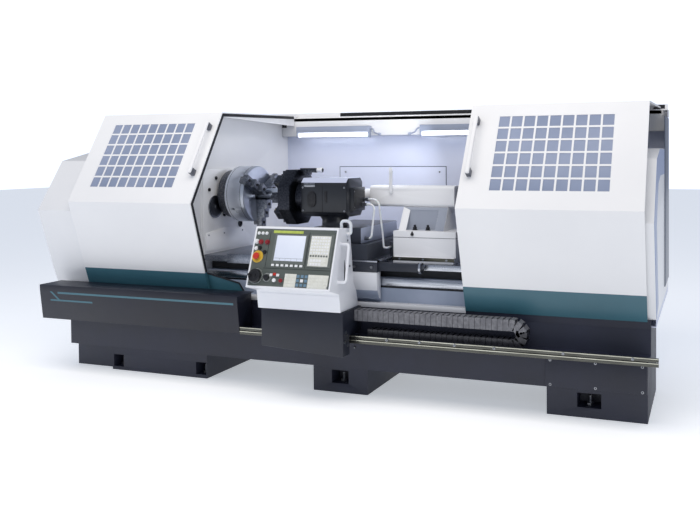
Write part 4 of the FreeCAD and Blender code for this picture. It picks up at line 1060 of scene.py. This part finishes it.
# The inner faces of the recess in the barrel box are coloured darker blue-grey: painted shade.
pocket_painted_shade = enamel("pocket_painted_shade", (0.34, 0.37, 0.44), (0.28, 0.31, 0.38), 0.4)
tail.data.materials.append(pocket_painted_shade)
for face in tail.data.polygons:
    x, y, z = face.center
    if 0.398 < x < 0.602 and -0.176 < y < -0.082 and 1.0515 < z < 1.179 and face.area < 0.03:
        if face.normal.z > 0.95 or abs(face.normal.x) > 0.95 or y > -0.119:
            face.material_index = 1
refinished("quill", "tail_quill", lip_paint, 0.002)
refinished("dead_centre", "tail_quill", dark_steel, 0.001)
refinished("quill_lever", "lever", tail_paint, 0.004)
bm = bmesh.new()
add_box(bm, (0.327, -0.2112, 1.008), (0.755, 0.2112, 1.011))
own("tailstock_joint", eased_mesh(bm, "tailstock_joint", 0.0008, 1), dark_steel, "tailstock")
bm = bmesh.new()
add_turned(bm, (0.46, -0.21, 1.03), (0, -1, 0), [(-0.002, 0.011), (0.006, 0.011), (0.008, 0.009),
                                                 (0.008, 0.004)], 6)
add_turned(bm, (0.46, -0.21, 1.055 - 0.012), (0, -1, 0), [(-0.001, 0.006), (0.001, 0.006)], 12)
own("tailstock_plug", eased_mesh(bm, "tailstock_plug", 0.0), black_plastic, "tailstock")
bm = bmesh.new()
for x in (0.455, 0.545):
    add_turned(bm, (x, -0.148, 1.0515), (0, 0, 1), [(0, 0.02), (0.004, 0.02), (0.004, 0.014), (0.02, 0.014),
               (0.022, 0.012), (0.022, 0.009), (0.034, 0.009), (0.036, 0.006)], 6)
own("clamp_nuts", eased_mesh(bm, "clamp_nuts", 0.002), black_plastic, "tailstock")
bm = bmesh.new()
add_box(bm, (0.33, -0.2315, 0.862), (0.75, -0.229, 0.8845))
own("tailstock_scraper", eased_mesh(bm, "tailstock_scraper", 0.0008), olive, "tailstock")
screws("tailstock_foot_screws", [(x, -0.231, 0.873) for x in (0.38, 0.54, 0.7)], (0, -1, 0), 0.007, 0.004,
       screw_steel, "tailstock")


# Operator station: a folded white housing with a sloping face, hung on the front rail by its dark apron.
station_paint = enamel("station_paint", (0.84, 0.85, 0.88), (0.8, 0.81, 0.85), 0.32)
refinished("station_housing", "station", station_paint, 0.005)
station_apron_paint = cast_paint("station_apron_paint", (0.014, 0.0165, 0.028), (0.01, 0.012, 0.021), 0.42)
refinished("station_apron", "station", station_apron_paint, 0.004)
st_low, st_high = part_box("station_housing")
panel_plastic, shader = new_finish("panel_plastic", 0.45)
tree = panel_plastic.node_tree
tone(tree, shader, place_of(tree), 5, (0.105, 0.12, 0.108), (0.09, 0.105, 0.094))
relief(tree, shader, place_of(tree), 1600, 0.00015)
refinished("panel_face", "station", panel_plastic, 0.001)
FACE_LOW, FACE_HIGH = Vector((0, -0.800, 0.744)), Vector((0, -0.671, 1.104))
face_up = (FACE_HIGH - FACE_LOW).normalized()
face_off = Vector((0, -face_up.z, face_up.y))
face_frame = Matrix((Vector((1, 0, 0)), face_up, face_off)).transposed().to_4x4()
face_frame.translation = FACE_LOW
SURFACE = -0.002


def face_point(x, u, n=0.0):
    return face_frame @ Vector((x, u, SURFACE + n))


def face_plates(name, plates, finish, ease=0.0008, sink=0.001):
    # Flat pieces on the sloping face: each is left, right, low, high and how far it stands out.
    bm = bmesh.new()
    for left, right_edge, low_edge, high_edge, proud in plates:
        add_box(bm, (left, low_edge, SURFACE - sink), (right_edge, high_edge, SURFACE + proud), face_frame)
    return own(name, eased_mesh(bm, name, ease), finish, "station")


# The face: a display behind glass, bare label strip, row of soft keys, membrane keypads under film.
def plastic(name, light, dark, roughness, size=40):
    finish, shader = new_finish(name, roughness)
    tree = finish.node_tree
    spot = place_of(tree)
    tone(tree, shader, spot, size, light, dark)
    relief(tree, shader, spot, 1300, 0.00012)
    return finish


bezel_plastic = plastic("bezel_plastic", (0.14, 0.155, 0.145), (0.12, 0.135, 0.125), 0.4)
key_white = plastic("key_white", (0.84, 0.85, 0.86), (0.78, 0.79, 0.8), 0.35)
key_cream = plastic("key_cream", (0.76, 0.76, 0.7), (0.7, 0.7, 0.63), 0.4)
key_blue = plastic("key_blue", (0.17, 0.27, 0.36), (0.13, 0.22, 0.3), 0.4)
lime_film = plastic("lime_film", (0.5, 0.58, 0.12), (0.42, 0.5, 0.1), 0.38)
groove_black = plastic("groove_black", (0.02, 0.021, 0.022), (0.012, 0.013, 0.014), 0.5)
yellow_plastic = plastic("yellow_plastic", (0.75, 0.5, 0.06), (0.66, 0.42, 0.045), 0.36)
red_plastic = plastic("red_plastic", (0.55, 0.035, 0.02), (0.46, 0.025, 0.015), 0.3)
dark_red = plastic("dark_red", (0.28, 0.02, 0.025), (0.2, 0.012, 0.018), 0.34)
display_glass, shader = new_finish("display_glass", 0.08)
tree = display_glass.node_tree
spot = place_of(tree)
tone(tree, shader, spot, 3, (0.74, 0.78, 0.86), (0.66, 0.7, 0.8))
shader.inputs["Coat Weight"].default_value = 0.8
shader.inputs["Coat Roughness"].default_value = 0.05
shader.inputs["Emission Color"].default_value = (0.8, 0.86, 1.0, 1)
shader.inputs["Emission Strength"].default_value = 0.12

face_plates("face_grooves", [(-0.3, 0.156, 0.1215, 0.1245, 0.0006), (-0.29, -0.287, 0.13, 0.352, 0.0006),
            (-0.018, -0.0155, 0.13, 0.352, 0.0006)], groove_black, 0.0002)
face_plates("label_strip", [(-0.268, -0.062, 0.342, 0.359, 0.001)], lime_film, 0.0004)
face_plates("display_bezel", [(-0.252, -0.0235, 0.152, 0.338, 0.005)], bezel_plastic,
            0.002)
face_plates("display", [(-0.2355, -0.0365, 0.1705, 0.328, 0.0058)], display_glass, 0.001)
face_plates("display_lines", [(-0.2345, -0.0375, 0.1855, 0.187, 0.0061)] +
            [(-0.2345 + 0.0394 * i, -0.2335 + 0.0394 * i, 0.1712, 0.1855, 0.0061) for i in (1, 2, 3, 4)],
            bezel_plastic, 0.0)
face_plates("keypad_bezel", [(-0.0105, 0.1515, 0.138, 0.341, 0.004)], bezel_plastic, 0.002)
face_plates("key_film", [(0.0, 0.133, 0.146, 0.331, 0.0048)], key_cream, 0.0008)

# Keys: small domed caps in rows, grown from one tree over a grid of places.
key_tree, ask = start_tree("key_caps", {"Cap": (0.014, 0.012, 0.003), "Pull in": 0.82, "Lean": 0.0})
cap = put(key_tree, "GeometryNodeMeshCube", [("Size", ask["Cap"])])
facing = put(key_tree, "ShaderNodeSeparateXYZ", [(0, put(key_tree, "GeometryNodeInputNormal").outputs[0])])
upper = put(key_tree, "FunctionNodeCompare", [(0, facing.outputs["Z"]), (1, 0.9)], operation="GREATER_THAN")
crown = put(key_tree, "GeometryNodeExtrudeMesh", [("Mesh", cap.outputs["Mesh"]),
                                                  ("Selection", upper.outputs[0]),
                                                  ("Offset Scale", 0.0007)])
domed = put(key_tree, "GeometryNodeScaleElements", [("Geometry", crown.outputs["Mesh"]),
            ("Selection", crown.outputs["Top"]), ("Scale", ask["Pull in"])])
lean_turn = put(key_tree, "ShaderNodeCombineXYZ", [("X", ask["Lean"])])
placed = put(key_tree, "GeometryNodeInstanceOnPoints", [("Points", ask["Geometry"]),
             ("Instance", domed.outputs[0]), ("Rotation", lean_turn.outputs[0])])
end_tree(key_tree, ask, placed.outputs[0])
FACE_LEAN = math.atan2(face_up.z, face_up.y)


def keys(name, columns, rows, cap, finish, proud=0.001):
    spots = [face_point(x, u, proud) for x in columns for u in rows]
    return grow(name, key_tree, points_only(name, spots), {"Cap": cap, "Lean": FACE_LEAN}, finish,
                "station")


def steps_between(first, last, count):
    return [first + (last - first) * i / (count - 1) for i in range(count)]


keys("soft_keys", steps_between(-0.236, -0.043, 7), [0.1435], (0.0185, 0.0135, 0.007), key_white)
keys("letter_keys", steps_between(0.013, 0.12, 7), steps_between(0.226, 0.32, 6), (0.0115, 0.0115, 0.002),
     key_white,
     proud=0.0052)
keys("number_keys", steps_between(0.013, 0.12, 7), [0.208], (0.0115, 0.0105, 0.002), bezel_plastic,
     proud=0.0052)
keys("arrow_keys", [0.022, 0.041, 0.06, 0.079], [0.158, 0.18], (0.0155, 0.0155, 0.003), key_white,
     proud=0.0052)
keys("page_keys", [0.114], [0.158, 0.178], (0.016, 0.0135, 0.003), key_cream, proud=0.0052)
face_plates("pad_films", [(-0.141, -0.063, 0.014, 0.095, 0.0007), (0.017, 0.151, 0.014, 0.095, 0.0007)],
            key_cream,
            0.0003)
keys("mode_keys", steps_between(-0.127, -0.077, 3), steps_between(0.026, 0.083, 4),
     (0.0195, 0.0165, 0.003), key_cream)
keys("jog_keys", steps_between(-0.05, 0.004, 3), steps_between(0.03, 0.082, 3), (0.0185, 0.0175, 0.003),
     key_blue)
keys("jog_centre", [-0.023], [0.056], (0.0188, 0.0178, 0.0045), key_white)
keys("option_keys", steps_between(0.03, 0.078, 3), steps_between(0.026, 0.083, 4), (0.0185, 0.0165, 0.003),
     key_cream)
keys("axis_keys", [0.107, 0.137], steps_between(0.026, 0.083, 4), (0.0215, 0.0165, 0.003), key_cream)
keys("cycle_caps", [-0.236, -0.19], [0.083], (0.019, 0.016, 0.005), key_white)
keys("cycle_caps_red", [-0.213], [0.088], (0.019, 0.016, 0.005), red_plastic)
bm = bmesh.new()
for x, u, r in ((-0.37, 0.339, 0.0085), (-0.3425, 0.339, 0.0085), (-0.315, 0.339, 0.0085),
                (-0.372, 0.243, 0.011)):
    add_turned(bm, face_point(x, u, -0.001), face_off, [(0, r + 0.002), (0.004, r + 0.002), (0.005, r),
               (0.009, r * 0.8), (0.0105, r * 0.3)], 24)
own("pilot_lamps", eased_mesh(bm, "pilot_lamps", 0.0), key_white, "station")
bm = bmesh.new()
add_turned(bm, face_point(-0.374, 0.286, -0.001), face_off, [(0, 0.0155), (0.008, 0.0155), (0.014, 0.012),
           (0.018, 0.011), (0.0185, 0.004)], 28)
add_box(bm, (-0.377, 0.276, 0.012), (-0.371, 0.296, 0.0195), face_frame)
own("mode_switch", eased_mesh(bm, "mode_switch", 0.0006), key_white, "station")
bm = bmesh.new()
for x, r in ((-0.345, 0.012), (-0.3, 0.012)):
    add_turned(bm, face_point(x, 0.284, -0.001), face_off, [(0, r + 0.004), (0.004, r + 0.004), (0.006, r),
               (0.013, r), (0.015, r * 0.85), (0.0152, r * 0.2)], 28)
own("push_pair", eased_mesh(bm, "push_pair", 0.0), dark_red, "station")
bm = bmesh.new()
for x, u in ((-0.307, 0.221), (-0.345, 0.246)):
    add_turned(bm, face_point(x, u, -0.001), face_off, [(0, 0.0125), (0.004, 0.0125), (0.0055, 0.01),
                                                        (0.014, 0.0095),
               (0.0155, 0.007)], 24)
own("key_switches", eased_mesh(bm, "key_switches", 0.0), black_plastic, "station")
estop_x, estop_u = -0.352, 0.192
bm = bmesh.new()
add_turned(bm, face_point(estop_x, estop_u, -0.001), face_off,
           [(0, 0.0375), (0.002, 0.038), (0.004, 0.0362),
           (0.004, 0.0245), (0.0012, 0.0235), (0.0012, 0.012)], 56)
own("estop_ring", eased_mesh(bm, "estop_ring", 0.0), yellow_plastic, "station")
bm = bmesh.new()
add_turned(bm, face_point(estop_x, estop_u, 0.0095), face_off,
           [(0, 0.0135), (0.003, 0.0145), (0.004, 0.0195),
           (0.008, 0.0215), (0.013, 0.0213), (0.0165, 0.0185), (0.0185, 0.012), (0.019, 0.002)], 44)
own("estop_cap", eased_mesh(bm, "estop_cap", 0.0), red_plastic, "estop", ["estop_button"])
for name, body, x, finish, slot in (("start", "start", -0.205, key_white, "green_plastic"),
                                    ("hold", "hold", -0.160, dark_red, "red_plastic")):
    bm = bmesh.new()
    add_turned(bm, face_point(x, 0.05, 0.0056), face_off, [(0, 0.0085), (0.002, 0.0118), (0.0075, 0.0118),
               (0.009, 0.0105), (0.0088, 0.003)], 32)
    own(name + "_cap", eased_mesh(bm, name + "_cap", 0.0), finish, body, [name + "_button"])
    bm = bmesh.new()
    add_turned(bm, face_point(x, 0.05, -0.001), face_off, [(0, 0.0165), (0.0025, 0.0165), (0.0035, 0.0155),
               (0.0035, 0.0125), (0.002, 0.0122)], 32)
    own(name + "_collar", eased_mesh(bm, name + "_collar", 0.0), bezel_plastic, "station")

# Handwheel: a moulded disc with a graduated light ring and a crank knob; the override knob is fluted.
wheel_x, wheel_u = -0.34, 0.072
bm = bmesh.new()
add_turned(bm, face_point(wheel_x, wheel_u, 0.0062), face_off, [(0, 0.036), (0.002, 0.0405), (0.007, 0.042),
           (0.015, 0.0418), (0.0205, 0.0385), (0.0205, 0.033), (0.017,
                                                                0.03), (0.0165, 0.012), (0.021, 0.01),
           (0.0215, 0.003)], 72)
own("handwheel_disc", eased_mesh(bm, "handwheel_disc", 0.0), black_plastic, "wheel",
    ["handwheel"])
bm = bmesh.new()
add_turned(bm, face_point(wheel_x - 0.026, wheel_u, 0.026), face_off,
           [(0, 0.0045), (0.004, 0.0045), (0.005, 0.0078),
           (0.012, 0.0086), (0.019, 0.0078), (0.0225, 0.005), (0.023, 0.001)], 28)
own("handwheel_knob", eased_mesh(bm, "handwheel_knob", 0.0), black_plastic, "wheel")
bm = bmesh.new()
add_turned(bm, face_point(wheel_x, wheel_u, -0.001), face_off,
           [(0, 0.0485), (0.003, 0.0485), (0.0045, 0.047),
           (0.0045, 0.043), (0.002, 0.0425)], 64)
own("handwheel_scale", eased_mesh(bm, "handwheel_scale", 0.0), bezel_plastic, "station")
tick_tree, ask = start_tree("scale_ticks", {"Radius": 0.0452, "Tick": (0.0006, 0.0032, 0.0012),
                                            "Lean": FACE_LEAN})
circle = put(tick_tree, "GeometryNodeMeshCircle", [("Vertices", 50), ("Radius", ask["Radius"])])
outward = put(tick_tree, "GeometryNodeInputPosition").outputs[0]
swing = put(tick_tree, "FunctionNodeAlignRotationToVector", [("Vector", outward)], axis="Y", pivot_axis="Z")
mark = put(tick_tree, "GeometryNodeMeshCube", [("Size", ask["Tick"])])
marks = put(tick_tree, "GeometryNodeInstanceOnPoints", [("Points", circle.outputs[0]),
            ("Instance", mark.outputs["Mesh"]), ("Rotation", swing.outputs[0])])
tip_turn = put(tick_tree, "ShaderNodeCombineXYZ", [("X", ask["Lean"])])
dial = put(tick_tree, "GeometryNodeInstanceOnPoints", [("Points", ask["Geometry"]),
                                                       ("Instance", marks.outputs[0]),
                                                       ("Rotation", tip_turn.outputs[0])])
end_tree(tick_tree, ask, dial.outputs[0])
grow("handwheel_ticks", tick_tree, points_only("ticks", [face_point(wheel_x, wheel_u, 0.0035)]),
     {"Radius": 0.0452, "Tick": (0.0011, 0.0036, 0.001)}, key_white, "station")
knob_x, knob_u = -0.262, 0.066
bm = bmesh.new()
profile = []
for i in range(72):
    angle = 2 * math.pi * i / 72
    radius = 0.0163 + 0.0007 * math.cos(9 * angle)
    profile.append((radius * math.cos(angle), radius * math.sin(angle)))
add_prism(bm, profile, 2, 0.001, 0.018)
for v in bm.verts:
    v.co = face_frame @ Vector((v.co.x + knob_x, v.co.y + knob_u, v.co.z + SURFACE + 0.002))
add_box(bm, (knob_x - 0.0022, knob_u - 0.001, 0.016), (knob_x + 0.0022, knob_u + 0.0155, 0.0195),
        face_frame)
own("override_knob_fluted", eased_mesh(bm, "override_knob_fluted", 0.0007), black_plastic, "knob",
    ["override_knob"])
bm = bmesh.new()
add_turned(bm, face_point(knob_x, knob_u, -0.001), face_off,
           [(0, 0.0285), (0.0018, 0.0285), (0.0022, 0.028),
           (0.0022, 0.018), (0.0012, 0.0175)], 56)
own("override_scale", eased_mesh(bm, "override_scale", 0.0), bezel_plastic, "station")
grow("override_ticks", tick_tree, points_only("ticks_small", [face_point(knob_x, knob_u, 0.0012)]),
     {"Radius": 0.0245, "Tick": (0.0008, 0.0036, 0.0012)}, key_white, "station")
face_screws = [face_point(x, u) for x in (-0.38, 0.152) for u in (0.022, 0.36)]
screws("panel_face_screws", face_screws, face_off, 0.0045, 0.003, screw_steel, "station")

# Side handle: bent white tube bolted to the housing's right side, with the cable conduit above it.
handle_low, handle_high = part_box("side_handle")
bm = bmesh.new()
grip_x = handle_high.x - 0.009
add_tube(bm, rounded([(handle_low.x - 0.0005, -0.646, 1.007), (grip_x, -0.646, 1.007),
                      (grip_x, -0.691, 0.784),
                      (handle_low.x - 0.0005, -0.691, 0.784)], 0.02, 8), 0.0088, 20)
for y, z in ((-0.646, 1.007), (-0.691, 0.784)):
    add_turned(bm, (handle_low.x - 0.0005, y, z), (1, 0, 0), [(0, 0.0145), (0.003, 0.0145), (0.005, 0.011),
                                                             (0.0065, 0.0095)], 24)
own("side_handle_tube", eased_mesh(bm, "side_handle_tube", 0.0), station_paint, "station",
    ["side_handle"])
side_x = st_high.x
bm = bmesh.new()
add_prism(bm, [(-0.605, 0.905), (-0.572, 0.775), (-0.612, 0.765)], 0, side_x - 0.001, side_x + 0.0015)
own("side_vent_cover", eased_mesh(bm, "side_vent_cover", 0.0005), station_apron_paint, "station")
bm = bmesh.new()
add_box(bm, (st_low.x + 0.022, -0.679, 0.6915), (side_x, -0.6615, 0.6935))
own("housing_fold", eased_mesh(bm, "housing_fold", 0.0004, 1), station_paint, "station")
side_spots = [(side_x, y, z) for y, z in ((-0.56, 1.02), (-0.535, 0.86))]
screws("station_side_screws", side_spots, (1, 0, 0), 0.006, 0.004, screw_steel, "station")
ap_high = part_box("station_apron")[1]
apron_spots = [(ap_high.x, y, z) for y, z in ((-0.62, 0.47), (-0.64, 0.41), (-0.6, 0.385), (-0.5, 0.35))]
screws("station_apron_screws", apron_spots, (1, 0, 0), 0.008, 0.005, screw_steel, "station")

# Conduit: corrugated white tube between the housing's side and its top; ribs grow along its line.
refinished("conduit", "station", hose_plastic, 0.0)
conduit_line = rounded([(0.172, -0.575, 1.062), (0.204, -0.575, 1.062), (0.204, -0.575, 1.14),
                        (0.14, -0.575, 1.14), (0.14, -0.575, 1.0974)], 0.024, 10)
path = bpy.data.meshes.new("conduit_line")
path.from_pydata([tuple(p) for p in conduit_line], [(i, i + 1) for i in range(len(conduit_line) - 1)], [])
rib_line_tree, ask = start_tree("conduit_ribs", {"Pitch": 0.0075, "Rib radius": 0.0094,
                                                 "Rib width": 0.0035})
curve = put(rib_line_tree, "GeometryNodeMeshToCurve", [("Mesh", ask["Geometry"])])
spaced = put(rib_line_tree, "GeometryNodeResampleCurve", [("Curve", curve.outputs[0]),
                                                          ("Length", ask["Pitch"])],
             mode="LENGTH")
along = put(rib_line_tree, "GeometryNodeInputTangent").outputs[0]
turn_rib = put(rib_line_tree, "FunctionNodeAlignRotationToVector", [("Vector", along)], axis="Z")
rib = put(rib_line_tree, "GeometryNodeMeshCylinder", [("Vertices", 20), ("Radius", ask["Rib radius"]),
                                                      ("Depth", ask["Rib width"])])
placed = put(rib_line_tree, "GeometryNodeInstanceOnPoints", [("Points", spaced.outputs[0]),
             ("Instance", rib.outputs["Mesh"]), ("Rotation", turn_rib.outputs[0])])
end_tree(rib_line_tree, ask, placed.outputs[0])
grow("conduit_ribs", rib_line_tree, path, {}, hose_plastic, "station")
